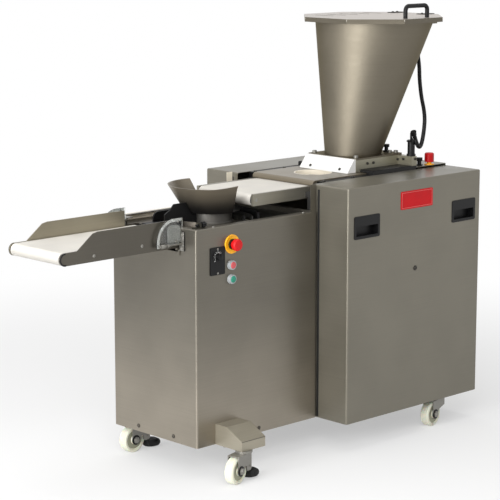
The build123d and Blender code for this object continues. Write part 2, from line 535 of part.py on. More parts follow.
def cover_pulls():
    """Two flush pulls: a flange, a pan behind the sheet and a grip lip over its upper half."""
    pulls = Part()
    face, back = -COVER_OUT, -COVER_OUT + PULL_DEPTH
    pan_w, pan_h = PULL_PAN[0] / 2, PULL_PAN[1] / 2
    room_w, room_h = pan_w - PULL_WALL, pan_h - PULL_WALL
    for x in PULL_X:
        flange = block(about(x, PULL_SIZE[0] / 2), (face - PULL_WALL, face), about(PULL_Z, PULL_SIZE[1] / 2))
        flange = fillet(flange.edges().filter_by(Axis.Y), BEND)
        pan = block(about(x, pan_w), (face, back), about(PULL_Z, pan_h))
        room = block(about(x, room_w), (face - PULL_WALL - CUT, back - PULL_WALL), about(PULL_Z, room_h))
        lip = block(about(x, room_w), (face - PULL_WALL, face + CUT), (PULL_Z + 4, PULL_Z + room_h))
        pulls += flange + pan - room + lip
    return pulls


def rear_cover():
    """Back panel of the middle channel, bent forward over the shuttle's rear end, with the clamp stud."""
    panel = block((DIV_X[1] - SHEET, DIV_X[1]), span(CHANNEL_HALF), (CAB_Z[0] + SHEET, REAR_DECK_Z[1]))
    panel += block((HEAD_X[1] + SHEET, DIV_X[1]), span(CHANNEL_HALF), REAR_DECK_Z)
    panel += upright(*REAR_KNOB, (REAR_DECK_Z[0], REAR_DECK_Z[1] + REAR_KNOB_STEM + STUD), STUD_R)
    return panel - upright(*REAR_ESTOP, inset(REAR_DECK_Z, -CUT), 5)


def slide_rails():
    """Two plastic rails that guide the shuttle plate's long edges."""
    rails = both(RAIL_X, (SHUTTLE_HALF + 0.5, CHANNEL_HALF), RAIL_Z)
    return rails + both(RAIL_X, (RAIL_LEDGE_Y, SHUTTLE_HALF + CUT), (RAIL_Z[0], SHUTTLE_Z[0] - GAP))


def shuttle_plate():
    """Sliding plate with the round pocket that measures a dough piece."""
    plate = block(SHUTTLE_X, span(SHUTTLE_HALF), SHUTTLE_Z)
    nose = plate.faces().sort_by(Axis.X)[0].edges().filter_by(Axis.Y).sort_by(Axis.Z)[-1]
    plate = fillet(nose, SHUTTLE_NOSE_R)
    return plate - upright(POCKET_X, 0, inset(SHUTTLE_Z, -CUT), POCKET_R)


def shuttle_rack():
    """Rack under the shuttle plate, its teeth pointing down."""
    pitch = pi * MODULE
    tip, root = RACK_PITCH_Z - 0.9 * MODULE, RACK_PITCH_Z + 1.2 * MODULE
    rack = block(RACK_X, RACK_Y, (root, SHUTTLE_Z[0]))
    half = pitch / 4 - BACKLASH / 2
    at_tip = half - (RACK_PITCH_Z - tip) * tan(PRESSURE)
    at_root = half + (root - RACK_PITCH_Z) * tan(PRESSURE)
    x = PINION_X - pitch / 2
    while x - at_root > RACK_X[0]:
        tooth = [(x - at_tip, tip), (x + at_tip, tip), (x + at_root, root + 0.5), (x - at_root, root + 0.5)]
        rack += slab(tooth, RACK_Y)
        x -= pitch
    return rack


def drive_pinion():
    """Involute pinion that drives the rack, on its shaft."""
    base_r = PITCH_R * cos(PRESSURE)
    tip_r, root_r = PITCH_R + 0.9 * MODULE, PITCH_R - 1.2 * MODULE
    half = pi / (2 * PINION_TEETH) - BACKLASH / (2 * PITCH_R)

    def flank(radius):
        slope = acos(min(1.0, base_r / radius))
        return half + (tan(PRESSURE) - PRESSURE) - (tan(slope) - slope)

    radii = [root_r] + [base_r + (tip_r - base_r) * i / 4 for i in range(5)]
    points = []
    for tooth in range(PINION_TEETH):
        middle = pi / 2 + 2 * pi * tooth / PINION_TEETH
        rising = [(r, middle - flank(max(r, base_r))) for r in radii]
        falling = [(r, middle + flank(max(r, base_r))) for r in reversed(radii)]
        points += [(PINION_X + r * cos(a), PINION_Z + r * sin(a)) for r, a in rising + falling]
    shaft = across(PINION_X, (GEARBOX_Y[0] + 25, RACK_Y[1] - CUT), PINION_Z, PINION_SHAFT_R)
    return slab(points, inset(RACK_Y, CUT)) + shaft


def shuttle_motor():
    """Right-angle gearmotor of the shuttle, standing on its shelf with the motor hanging below."""
    box = block(about(PINION_X, GEARBOX_HALF), GEARBOX_Y, GEARBOX_Z)
    box = fillet(box.edges().filter_by(Axis.Y), 8)
    foot, top = SHUTTLE_MOTOR_Z
    motor = upright(PINION_X, SHUTTLE_MOTOR_Y, (foot + 15, top), SHUTTLE_MOTOR_R)
    motor += upright(PINION_X, SHUTTLE_MOTOR_Y, (foot, foot + 15), SHUTTLE_MOTOR_R - 7)
    socket = across(PINION_X, (GEARBOX_Y[0] + 20, GEARBOX_Y[1] + CUT), PINION_Z, PINION_SHAFT_R + SHAFT_FIT)
    return box + motor - socket


def head_block():
    """Block under the hopper with the outlet bore, two feet on the rails and a lug on the control side."""
    head = block(HEAD_X, span(HEAD_HALF), HEAD_Z)
    foot_top = HEAD_Z[0] + HEAD_FOOT
    head += both(HEAD_FOOT_X, (HEAD_HALF - CUT, CHANNEL_HALF - CUT), (HEAD_Z[0], foot_top))
    head += both(HEAD_FOOT_X, (POST_Y[0], CHANNEL_HALF - CUT), (RAIL_Z[1], foot_top))
    x, y = POST_AT
    head += block((x - 16, x + 10), (y - 18, -HEAD_HALF + CUT), HEAD_Z)
    low = Plane.XY.offset(HEAD_Z[0] - CUT) * Pos(POCKET_X + SHUTTLE_STROKE, 0) * Circle(POCKET_R)
    high = Plane.XY.offset(HEAD_Z[1] + CUT) * Pos(HOPPER_LOW[0], 0) * Circle(HOPPER_LOW[1] - SHEET)
    return head - loft([low, high])


def feed_wedge():
    """White wedge that wipes the shuttle plate in front of the head block."""
    back, top = HEAD_X[0], FLANGE_TOP - 2
    side = [(WEDGE_FOOT_X, HEAD_Z[0]), (back - WEDGE_CREST, top), (back, top), (back, HEAD_Z[0])]
    return slab(side, span(HEAD_HALF - CUT))


def hopper_cone(shrink, below=0.0, above=0.0):
    """The hopper's slanted cone, drawn in by a wall thickness and run on past its ends."""
    (x0, r0, z0), (x1, r1, z1) = HOPPER_LOW, HOPPER_HIGH

    def ring(z):
        part = (z - z0) / (z1 - z0)
        return Plane.XY.offset(z) * Pos(x0 + (x1 - x0) * part, 0) * Circle(r0 + (r1 - r0) * part - shrink)

    return loft([ring(z0 - below), ring(z1 + above)])


def hopper():
    """Slanted hopper with its flange, rim, hinge arms, switch bracket and clamp stud."""
    x1, r1, z1 = HOPPER_HIGH
    rim_out, rim_height = HOPPER_RIM
    flange = block(HEAD_X, span(HEAD_HALF), (HEAD_Z[1], FLANGE_TOP))
    flange = fillet(flange.edges().filter_by(Axis.Z), 8)
    body = hopper_cone(0) + flange + upright(x1, 0, (z1 - rim_height, z1), r1 + rim_out)
    body += upright(*HOPPER_KNOB, (HEAD_Z[1], FLANGE_TOP + HOPPER_KNOB_STEM + STUD), STUD_R)
    for middle in (-ARM_Y, ARM_Y):
        y = about(middle, ARM_HALF)
        body += block((x1 + r1 - 22, HINGE_X), y, ARM_Z)
        body += block(about(HINGE_X, 6), y, (ARM_Z[0], HINGE_Z))
        body += across(HINGE_X, y, HINGE_Z, HINGE_R)
    arm = about(SWITCH_Y, SWITCH_ARM_HALF)
    body += block((SWITCH_X[0] - 47, SWITCH_X[0]), arm, (SWITCH_Z[0] + 15, SWITCH_Z[0] + 25))
    body -= hopper_cone(SHEET, HOPPER_FLANGE + CUT, CUT)
    return body - across(HINGE_X, span(CAB_HALF), HINGE_Z, PIN_R)


def octagon(apothem, z):
    """An eight-sided plate with two sides square to X."""
    corner = apothem / cos(pi / 8)
    turns = [pi / 8 + k * pi / 4 for k in range(8)]
    outline = Polyline(*[(LID_X + corner * cos(t), corner * sin(t), z[0]) for t in turns], close=True)
    return extrude(make_face(outline), amount=z[1] - z[0], dir=(0, 0, 1))


def hopper_lid():
    """Eight-sided lid with a folded skirt, a row of slots and the moving hinge knuckles."""
    foot = LID_TOP - LID_SKIRT
    lid = octagon(LID_APOTHEM, (foot, LID_TOP)) - octagon(LID_APOTHEM - SHEET, (foot - CUT, LID_TOP - SHEET))
    for k in range(SLOT_COUNT):
        x = SLOT_X + SLOT_PITCH * k
        lid -= block(about(x, SLOT_WIDTH / 2), SLOT_Y, (LID_TOP - 2 * SHEET, LID_TOP + CUT))
    for middle in (-KNUCKLE_Y, KNUCKLE_Y):
        y = about(middle, KNUCKLE_HALF)
        lid += block((LID_X + LID_APOTHEM - CUT, HINGE_X), y, (HINGE_Z, HINGE_Z + KNUCKLE))
        lid += across(HINGE_X, y, HINGE_Z, HINGE_R)
    return lid - across(HINGE_X, span(CAB_HALF), HINGE_Z, PIN_R + SHAFT_FIT)


def lid_handle():
    """Bow handle: a round bar on two feet near the lid's control-side edge."""
    left, right = about(HANDLE_X, HANDLE_HALF)
    top = LID_TOP + HANDLE_RISE
    corners = [(left, LID_TOP), (left, top), (right, top), (right, LID_TOP)]
    route = FilletPolyline(*[(x, HANDLE_Y, z) for x, z in corners], radius=HANDLE_BEND)
    return sweep(Plane(origin=route @ 0, z_dir=route % 0) * Circle(HANDLE_R), path=route)


def lid_hinge_pin():
    """Pin through the hopper's arms and the lid's knuckles."""
    return across(HINGE_X, span(ARM_Y + ARM_HALF + 5), HINGE_Z, PIN_R)


def lid_switch():
    """Safety switch of the lid, with the gland of its conduit below."""
    box = block(SWITCH_X, about(SWITCH_Y, SWITCH_HALF), SWITCH_Z)
    box = fillet(box.edges().filter_by(Axis.Z), 2 * SHEET)
    return box + upright(sum(SWITCH_X) / 2, SWITCH_Y, (SWITCH_Z[0] - GLAND, SWITCH_Z[0] + CUT), GLAND_R)


# Conduit

def conduit_path():
    """Straight runs joined by arcs as large as the runs allow."""
    points = [Vector(*p) for p in CONDUIT_ROUTE]
    radii = []
    for before, here, after in zip(points, points[1:], points[2:]):
        turn = radians((here - before).get_angle(after - here))
        shorter = min((here - before).length, (after - here).length)
        radii.append(0.45 * shorter / tan(turn / 2))
    print("conduit radii", [round(r, 1) for r in radii])
    return FilletPolyline(*CONDUIT_ROUTE, radius=radii)


def conduit(path):
    """Ribbed conduit with its bore: ruled skins through four circles a rib, before and after the turn."""
    ribs = int((path.length - 4 * CONDUIT_R) / RIB_PITCH)
    plain = (path.length - ribs * RIB_PITCH) / 2
    valley = CONDUIT_R - RIB_DEPTH
    stations = [(0.0, CONDUIT_R), (plain, CONDUIT_R)]
    for k in range(ribs):
        start = plain + k * RIB_PITCH
        for part, radius in ((0.1, valley), (0.4, valley), (0.5, CONDUIT_R), (0.9, CONDUIT_R)):
            stations.append((start + part * RIB_PITCH, radius))
    stations.append((path.length, CONDUIT_R))

    def ring(distance, radius):
        part = distance / path.length
        forward = path.tangent_at(part)
        side = Vector(0, -1, 0).cross(forward).normalized()
        return Plane(origin=path.position_at(part), x_dir=side, z_dir=forward) * Circle(radius)

    turn = 1 + 4 * int(CONDUIT_TURN * ribs)
    skin = loft([ring(d, r) for d, r in stations[:turn + 1]], ruled=True)
    skin += loft([ring(d, r) for d, r in stations[turn:]], ruled=True)
    tube = skin - sweep(Plane(origin=path @ 0, z_dir=path % 0) * Circle(CONDUIT_BORE_R), path=path)
    print("conduit length", round(path.length, 1), "ribs", ribs, "volume", round(tube.volume))
    return tube


def conduit_end(path):
    """Sleeve and collar on the conduit's lower end."""
    end = Plane(origin=path @ 1, z_dir=path % 1)
    sleeve = end * Pos(0, 0, SLEEVE / 2) * Cylinder(SLEEVE_R, SLEEVE)
    return sleeve + end * Pos(0, 0, SLEEVE + COLLAR / 2) * Cylinder(COLLAR_R, COLLAR)


def conduit_post(path):
    """Black post on the head block's lug, with the arm that holds the conduit's end."""
    x, y = POST_AT
    foot, top = POST_Z
    post = upright(x, y, POST_Z, POST_R) + upright(x, y, (foot, foot + POST_FOOT), POST_R + 3)
    end, forward = path @ 1, path % 1
    hold = end + forward * (SLEEVE / 2)
    arm_x, arm_y = (hold.X - POST_ARM, x + POST_ARM), (hold.Y + POST_ARM, y + POST_ARM)
    arm = block(arm_x, arm_y, (top - 6, top))
    arm += block(about(hold.X, POST_ARM), (arm_y[0], arm_y[0] + 10), (top - 6, hold.Z + 2))
    reach = 60
    room = Plane(origin=end, z_dir=forward) * Cylinder(SLEEVE_R, 2 * reach)
    return post + arm - room


# Controls

def control_collars():
    """Fixed collars round the two emergency stops and the two push buttons."""
    bore = ESTOP_STEM_R + BUTTON_FIT
    profile = [(bore, -30), (14.5, -30), (14.5, 0), (30, 0), (30, 2), (17, 2), (17, 9), (bore, 9)]
    collars = spun_forward(profile, ESTOP_X, ESTOP_Z)
    stem, base, z = REAR_STEM_R, REAR_RING_R, REAR_DECK_Z[1]
    profile = [(0, z), (base, z), (base, z + 3), (stem, z + 3), (stem, z + 20), (0, z + 20)]
    collars += spun(profile, *REAR_ESTOP)
    bore = BUTTON_R + BUTTON_FIT
    for button_z in (STOP_Z, START_Z):
        profile = [(bore, -25), (13.5, -25), (13.5, 0), (16, 0), (15, 11), (bore, 12)]
        collars += spun_forward(profile, BUTTON_X, button_z)
    return collars


def control_box():
    """Closed box on the inside of the control wall, with the contactors and the speed drive."""
    box = block(CONTROL_BOX_X, (-CAB_HALF + SHEET, CONTROL_BOX_Y), CONTROL_BOX_Z)
    return fillet(box.edges().filter_by(Axis.X), 4)


def front_estop_button():
    """Mushroom button on its stem."""
    stem, head = ESTOP_STEM_R, ESTOP_R
    profile = [(0, -28), (stem, -28), (stem, 17), (head, 19), (head, 29), (head - 3, 33),
               (CROWN_FLAT, 34), (0, 34)]
    return spun_forward(profile, ESTOP_X, ESTOP_Z)


def rear_estop_button():
    """Tall emergency button that slides over its collar's post on the rear deck."""
    bore, head, z = REAR_STEM_R + BUTTON_FIT, REAR_ESTOP_R, REAR_DECK_Z[1]
    profile = [(bore, z + 10), (head, z + 10), (head, z + 38), (head - 3, z + 42), (CROWN_FLAT, z + 43),
               (0, z + 43), (0, z + 28), (bore, z + 28)]
    return spun(profile, *REAR_ESTOP)


def push_button(z):
    """Round push button in its collar."""
    r = BUTTON_R
    profile = [(0, -22), (r, -22), (r, 12.5), (r - 1.5, 14), (CROWN_FLAT, 14.5), (0, 14.5)]
    return spun_forward(profile, BUTTON_X, z)


def speed_panel():
    """Small black plate behind the speed knob."""
    panel = block(PANEL_X, (-CAB_HALF - PANEL, -CAB_HALF), PANEL_Z)
    panel = fillet(panel.edges().filter_by(Axis.Y), 4)
    return panel - across(KNOB_X, about(-CAB_HALF, PANEL + CUT), KNOB_Z, KNOB_STEM_R + 2 * SHAFT_FIT)


def speed_knob():
    """Round knob with a pointer rib."""
    stem, r, seat = KNOB_STEM_R, KNOB_R, PANEL + 0.5
    profile = [(0, -12), (stem, -12), (stem, seat), (r, seat), (r - 1, 17), (CROWN_FLAT, 18), (0, 18)]
    knob = spun_forward(profile, KNOB_X, KNOB_Z)
    return knob + block(about(KNOB_X, 1.5), (-CAB_HALF - 19.5, -CAB_HALF - 14), (KNOB_Z, KNOB_Z + r - 1))


def star(lobes, core, lobe, height):
    """An upright star knob that stands on z = 0."""
    knob = Pos(0, 0, height / 2) * Cylinder(core, height)
    for k in range(lobes):
        turn = 2 * pi * k / lobes
        knob += Pos(core * cos(turn), core * sin(turn), height / 2) * Cylinder(lobe, height)
    return knob


def latch_knob():
    """Star knob and rod of the latch at the cabinet's top corner."""
    z = CAB_Z[1] + LATCH_RISE
    knob = Pos(LATCH_ROD_X[1] - CUT, LATCH_Y, z) * Rot(0, 90, 0) * star(6, 6.5, 3, LATCH_GRIP)
    return knob + along(LATCH_ROD_X, LATCH_Y, z, LATCH_ROD_R)


def clamp_knob(at, z, stem, grip):
    """Black clamp knob that turns on a stud of the sheet below it."""
    knob = Pos(*at, z + stem) * star(8, 8.5, 2.5, grip)
    knob += upright(*at, (z + GAP, z + stem + CUT), 7) + upright(*at, (z + GAP, z + 4), 12)
    return knob - upright(*at, (z, z + stem + STUD + CUT), STUD_R + SHAFT_FIT)


# Casters

def placed(name, shape):
    """A caster piece, drawn with the wheel trailing towards -X, at its place and turn."""
    x, y, turn, _ = CASTERS[name]
    return Pos(x, y, 0) * Rot(0, 0, turn) * shape


def caster_fork(pedal):
    """Swivel fork with its crown, kingpin and axle, and the pin of its pedal."""
    low, high = CROWN_Z
    crown = block(CROWN_X, span(LEG_Y[1]), (high - CROWN_SHEET, high)) + upright(0, 0, CROWN_Z, CROWN_R)
    left, right = CROWN_X
    lug = [(-24, 56), (-18, 54), (-16, 40), (-10, 36), (6, 36), (right, 42)] if pedal else [(-24, 58), (right, 68)]
    leg = slab([(right, high), (left, high), (left - 2, WHEEL_R), (-TRAIL, 32), (-38, 36)] + lug, LEG_Y)
    leg += across(-TRAIL, LEG_Y, WHEEL_R, AXLE_LOBE_R) + across(-TRAIL, (LEG_Y[1], AXLE_END), WHEEL_R, AXLE_HEAD_R)
    fork = crown + leg + mirrored(leg) + upright(0, 0, (low + 7, high + 14.6), KINGPIN_R)
    fork += across(-TRAIL, span(LEG_Y[1] + 2), WHEEL_R, ROLLER_SHAFT_R)
    if pedal:
        fork += across(PEDAL_PIVOT[0], span(LEG_Y[1] + 3), PEDAL_PIVOT[1], PEDAL_PIN_R)
    return fork


def caster_wheel():
    """Wheel with a raised hub, a sunk web and a rounded tread."""
    bore, side, web = ROLLER_SHAFT_R + SHAFT_FIT, WHEEL_HALF, WHEEL_HALF - 3
    half = [(bore, side), (14, side), (16, web), (32, web), (34, side), (40, side), (WHEEL_R, side - 4)]
    outline = half + [(r, -reach) for r, reach in reversed(half)]
    face = make_face(Polyline(*[(r, reach, 0) for r, reach in outline], close=True))
    return Pos(-TRAIL, 0, WHEEL_R) * revolve(face, Axis.Y)


def caster_pedal():
    """Brake pedal on its pin: an arm between the fork's legs and a broad shoe that slopes to a round nose."""
    arm = slab([(-1, 46), (-1, 53), (2, 57), (7, 57), (11, 52), (14, 22), (7, 22)], span(PEDAL_HALF))
    side = [(6, 31), (24, 32.5), (38, 31), (52, 25), (61, 17), (62, 10), (56, 6), (10, 10), (6, 20)]
    plan = extrude(Plane.XY * Pos(*SHOE_AT) * Ellipse(*SHOE_SIZE), amount=CROWN_Z[0])
    shoe = slab(side, span(SHOE_SIZE[1])) & plan
    pin = across(PEDAL_PIVOT[0], span(LEG_Y[1]), PEDAL_PIVOT[1], PEDAL_PIN_R + SHAFT_FIT)
    return arm + shoe - pin


def caster_plates():
    """Round top plates of the four casters."""
    plates = Part()
    for x, y, _, _ in CASTERS.values():
        plate = upright(x, y, (CROWN_Z[1] + GAP, CAB_Z[0]), PLATE_R)
        plates += plate - upright(x, y, about(CAB_Z[0], 10), KINGPIN_R + SHAFT_FIT)
    return plates


def fasteners():
    """Screws of the cabinet and bolts of the hopper's flange."""
    screws = Part()
    for x, y in LIP_SCREWS:
        screws += upright(x, y, (CAB_Z[1], CAB_Z[1] + 3), 4)
    screws += across(-124, (-CAB_HALF - 3, -CAB_HALF), 116, 6)
    for y in (-91, 83):
        screws += along((CAB_X[0] - 3, CAB_X[0]), y, 119, 6)
    for x, y in ((446, 100), (654, 100), (640, 84)):
        for side in (-y, y):
            screws += upright(x, side, (FLANGE_TOP, FLANGE_TOP + 9), 8)
    return screws


IN_AXLE_Z = IN_BELT_TOP - IN_ROLLER_R - BELT
IN_AXLES = (IN_NOSE_X + IN_ROLLER_R + BELT, IN_TAIL_X - IN_ROLLER_R - BELT)
OUT_AXLES = (OUT_TIP_X, OUT_PIVOT_X)
OUT_BELT_R = OUT_END_R - BELT_CLEAR
OUT_ROLLER_R = OUT_BELT_R - BELT - GAP

path = conduit_path()
near_cover, near_pulls = side_cover(), cover_pulls()
nodes = {
    "rounder_cabinet": rounder_cabinet(),
    "base_frame": base_frame(),
    "outrigger_bracket": outrigger(),
    "rounder_tray": rounder_tray(),
    "rounding_bowl": rounding_bowl(),
    "feed_funnel": feed_funnel(),
    "spiral_track": spiral_track(),
    "rounder_motor": rounder_motor(),
    "outfeed_sides": outfeed_sides(),
    "outfeed_belt": belt_loop(OUT_AXLES, OUT_Z, OUT_BELT_R, OUT_BELT_HALF),
    "outfeed_nose_roller": roller(OUT_TIP_X, OUT_Z, OUT_ROLLER_R, OUT_BELT_HALF, OUT_PLATE[1] - CUT - GAP),
    "outfeed_drive_roller": roller(OUT_PIVOT_X, OUT_Z, OUT_ROLLER_R, OUT_BELT_HALF, OUT_PLATE[1] + 3),
    "side_guards": side_guards(),
    "infeed_rails": infeed_rails(),
    "infeed_belt": belt_loop(IN_AXLES, IN_AXLE_Z, IN_ROLLER_R + BELT, IN_BELT_HALF),
    "infeed_nose_roller": roller(IN_AXLES[0], IN_AXLE_Z, IN_ROLLER_R - GAP, IN_BELT_HALF, IN_RAIL_Y[1] - 2),
    "infeed_drive_roller": roller(IN_AXLES[1], IN_AXLE_Z, IN_ROLLER_R - GAP, IN_BELT_HALF, IN_RAIL_Y[1] - 2),
    "near_cover": near_cover,
    "far_cover": mirrored(near_cover),
    "near_cover_pulls": near_pulls,
    "far_cover_pulls": mirrored(near_pulls),
    "rear_cover": rear_cover(),
    "slide_rails": slide_rails(),
    "shuttle_plate": shuttle_plate(),
    "shuttle_rack": shuttle_rack(),
    "drive_pinion": drive_pinion(),
    "shuttle_motor": shuttle_motor(),
    "head_block": head_block(),
    "feed_wedge": feed_wedge(),
    "hopper": hopper(),
    "hopper_lid": hopper_lid(),
    "lid_handle": lid_handle(),
    "lid_hinge_pin": lid_hinge_pin(),
    "lid_switch": lid_switch(),
    "conduit": conduit(path),
    "conduit_end": conduit_end(path),
    "conduit_post": conduit_post(path),
    "control_collars": control_collars(),
    "control_box": control_box(),
    "front_estop_button": front_estop_button(),
    "rear_estop_button": rear_estop_button(),
    "stop_button": push_button(STOP_Z),
    "start_button": push_button(START_Z),
    "speed_panel": speed_panel(),
    "speed_knob": speed_knob(),
    "latch_knob": latch_knob(),
    "hopper_clamp_knob": clamp_knob(HOPPER_KNOB, FLANGE_TOP, HOPPER_KNOB_STEM, HOPPER_KNOB_GRIP),
    "rear_clamp_knob": clamp_knob(REAR_KNOB, REAR_DECK_Z[1], REAR_KNOB_STEM, REAR_KNOB_GRIP),
    "caster_plates": caster_plates(),
    "fasteners": fasteners(),
}
for name, (_, _, _, has_pedal) in CASTERS.items():
    nodes[name + "_fork"] = placed(name, caster_fork(has_pedal))
    nodes[name + "_wheel"] = placed(name, caster_wheel())
    if has_pedal:
        nodes[name + "_pedal"] = placed(name, caster_pedal())

os.makedirs("parts", exist_ok=True)
for name, shape in nodes.items():
    export_step(shape, f"parts/{name}.step")
print("nodes", len(nodes))
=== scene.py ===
from math import cos, pi, radians, sin

import bmesh
import bpy
from mathutils import Matrix, Vector


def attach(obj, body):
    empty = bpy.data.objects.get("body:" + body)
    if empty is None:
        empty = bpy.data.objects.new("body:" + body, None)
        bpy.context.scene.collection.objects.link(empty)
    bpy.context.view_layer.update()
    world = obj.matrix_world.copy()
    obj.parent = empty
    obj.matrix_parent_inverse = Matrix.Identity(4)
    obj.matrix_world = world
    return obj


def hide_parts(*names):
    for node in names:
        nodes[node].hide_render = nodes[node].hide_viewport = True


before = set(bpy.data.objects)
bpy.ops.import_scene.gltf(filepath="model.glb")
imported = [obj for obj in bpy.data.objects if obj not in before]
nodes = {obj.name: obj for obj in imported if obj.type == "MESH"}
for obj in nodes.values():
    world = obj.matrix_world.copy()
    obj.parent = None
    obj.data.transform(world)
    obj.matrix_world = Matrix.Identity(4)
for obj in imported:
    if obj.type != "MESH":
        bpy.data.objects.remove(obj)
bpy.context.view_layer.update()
scene = bpy.context.scene
scene.view_settings.view_transform = "Standard"

# Shapes are written in millimetres; camera, lamps, floor and looks in metres.
MM = 0.001
WALL_Y, COVER_Y = -205.0, -345.0  # control side of the rounder's cabinet, and of the near cover
FRONT, BACK, NEAR, UP, DOWN = (-1, 0, 0), (1, 0, 0), (0, -1, 0), (0, 0, 1), (0, 0, -1)
SIDES = (-1, 1)  # near, where the controls are, and far


# Camera

EYE = (-4.1828, -4.3897, 1.7939)
YAW, PITCH = 43.834, -10.496  # degrees
FOCAL, PICTURE = 1826.09, 500.0  # pixels
SENSOR, SIGHT = 36.0, 100.0  # width in millimetres, range in metres

camera_data = bpy.data.cameras.new("camera")
camera_data.sensor_width = SENSOR
camera_data.lens = FOCAL / PICTURE * SENSOR
camera_data.clip_end = SIGHT
camera = bpy.data.objects.new("camera", camera_data)
camera.location = EYE
camera.rotation_euler = (radians(90 + PITCH), 0, radians(-YAW))
scene.collection.objects.link(camera)
scene.camera = camera


# Materials

MIX_COLOURS, MIX_RESULT = (6, 7), 2  # colour sockets of a Mix node, which share their names
NOISE_BAND = (0.3, 0.7)  # where most values of a noise lie
PATCH_BAND = (0.35, 0.7)  # the same, leaving more clean places between patches


def tone(red, green, blue):
    """A screen colour, 0 to 255, as the linear colour that a shader takes: the sRGB curve."""
    def linear(value):
        value /= 255
        return value / 12.92 if value <= 0.04045 else ((value + 0.055) / 1.055) ** 2.4
    return linear(red), linear(green), linear(blue), 1.0


def shaded(colour, factor):
    """A colour made darker or lighter."""
    return (*[min(1.0, c * factor) for c in colour[:3]], 1.0)


class Tree:
    """The node tree of a material or world, with short ways to add to it."""

    def __init__(self, owner):
        owner.use_nodes = True
        self.graph = owner.node_tree

    def node(self, kind, **values):
        made = self.graph.nodes.new(kind)
        for key, value in values.items():
            setattr(made, key, value)
        return made

    def link(self, source, target):
        self.graph.links.new(source, target)

    def math(self, operation, first, second=0.0):
        """A sum with two values, each a number or a node's output."""
        made = self.node("ShaderNodeMath", operation=operation)
        for socket, value in zip(made.inputs, (first, second)):
            if isinstance(value, (int, float)):
                socket.default_value = value
            else:
                self.link(value, socket)
        return made.outputs["Value"]

    def times(self, first, second):
        return self.math("MULTIPLY", first, second)

    def remap(self, source, low, high, start=0.0, end=1.0):
        """A value taken from one range to another, smoothly."""
        made = self.node("ShaderNodeMapRange", interpolation_type="SMOOTHSTEP")
        sockets = ("From Min", "From Max", "To Min", "To Max")
        for socket, value in zip(sockets, (low, high, start, end)):
            made.inputs[socket].default_value = value
        self.link(source, made.inputs["Value"])
        return made.outputs["Result"]


class Look(Tree):
    """A procedural material: one principled shader, and nodes for its grain, clouds and bump."""

    def __init__(self, name, colour, rough, metal=0.0, **sockets):
        self.material = bpy.data.materials.new(name)
        super().__init__(self.material)
        self.shader = self.graph.nodes["Principled BSDF"]
        self.place = self.node("ShaderNodeTexCoord")
        values = {"Base_Color": colour, "Roughness": rough, "Metallic": metal, **sockets}
        for socket, value in values.items():
            self.shader.inputs[socket.replace("_", " ")].default_value = value

    def feed(self, socket, source):
        self.link(source, self.shader.inputs[socket])

    def noise(self, scale, detail):
        """Noise in the part's coordinates, in cycles a metre: a number, or one for each axis."""
        mapping = self.node("ShaderNodeMapping")
        mapping.inputs["Scale"].default_value = scale if isinstance(scale, tuple) else (scale,) * 3
        self.link(self.place.outputs["Object"], mapping.inputs["Vector"])
        texture = self.node("ShaderNodeTexNoise")
        texture.inputs["Scale"].default_value = 1.0
        texture.inputs["Detail"].default_value = detail
        self.link(mapping.outputs["Vector"], texture.inputs["Vector"])
        return texture.outputs["Fac"]

    def mix(self, share, first, second):
        """A colour between two, each a colour or a node's output."""
        made = self.node("ShaderNodeMix", data_type="RGBA")
        self.link(share, made.inputs["Factor"])
        for index, value in zip(MIX_COLOURS, (first, second)):
            if isinstance(value, tuple):
                made.inputs[index].default_value = value
            else:
                self.link(value, made.inputs[index])
        return made.outputs[MIX_RESULT]

    def coordinate(self, kind, letter):
        made = self.node("ShaderNodeSeparateXYZ")
        self.link(self.place.outputs[kind], made.inputs["Vector"])
        return made.outputs[letter]

    def axis(self, letter):
        """One of the part's own coordinates, in metres."""
        return self.coordinate("Object", letter)

    def upward(self):
        """How level a face lies: 1 on top, -1 below, 0 on a wall."""
        return self.coordinate("Normal", "Z")

    def wear(self, share, colour, spread, smoothest, roughest):
        """Lets a noise change the colour by a share either way, and the roughness."""
        self.span, self.spread = self.remap(share, *NOISE_BAND), spread
        self.feed("Base Color", self.varied(colour))
        self.feed("Roughness", self.remap(share, *NOISE_BAND, smoothest, roughest))

    def varied(self, colour):
        """A colour that this look's wear darkens and lightens."""
        return self.mix(self.span, shaded(colour, 1 - self.spread), shaded(colour, 1 + self.spread))

    def parted(self, share, first, second):
        """Gives the look two worn colours: the second where the share is 1."""
        self.feed("Base Color", self.mix(share, self.varied(first), self.varied(second)))

    def bump(self, height, strength, depth):
        made = self.node("ShaderNodeBump")
        made.inputs["Strength"].default_value = strength
        made.inputs["Distance"].default_value = depth
        self.link(height, made.inputs["Height"])
        self.feed("Normal", made.outputs["Normal"])


WALL_STREAKS, TOP_STREAKS, STREAK_DETAIL = (3, 3, 700), (3, 700, 3), 3.0  # cycles a metre
STREAK_SHARE, STREAK_BUMP, STREAK_DEPTH = 0.4, 0.05, 0.0004
HANDLING, HANDLING_DETAIL = 5.0, 4.0
LEVEL_FACE = (0.6, 0.8)  # how level a face lies from a wall to a top
STEEL_METAL = 0.65


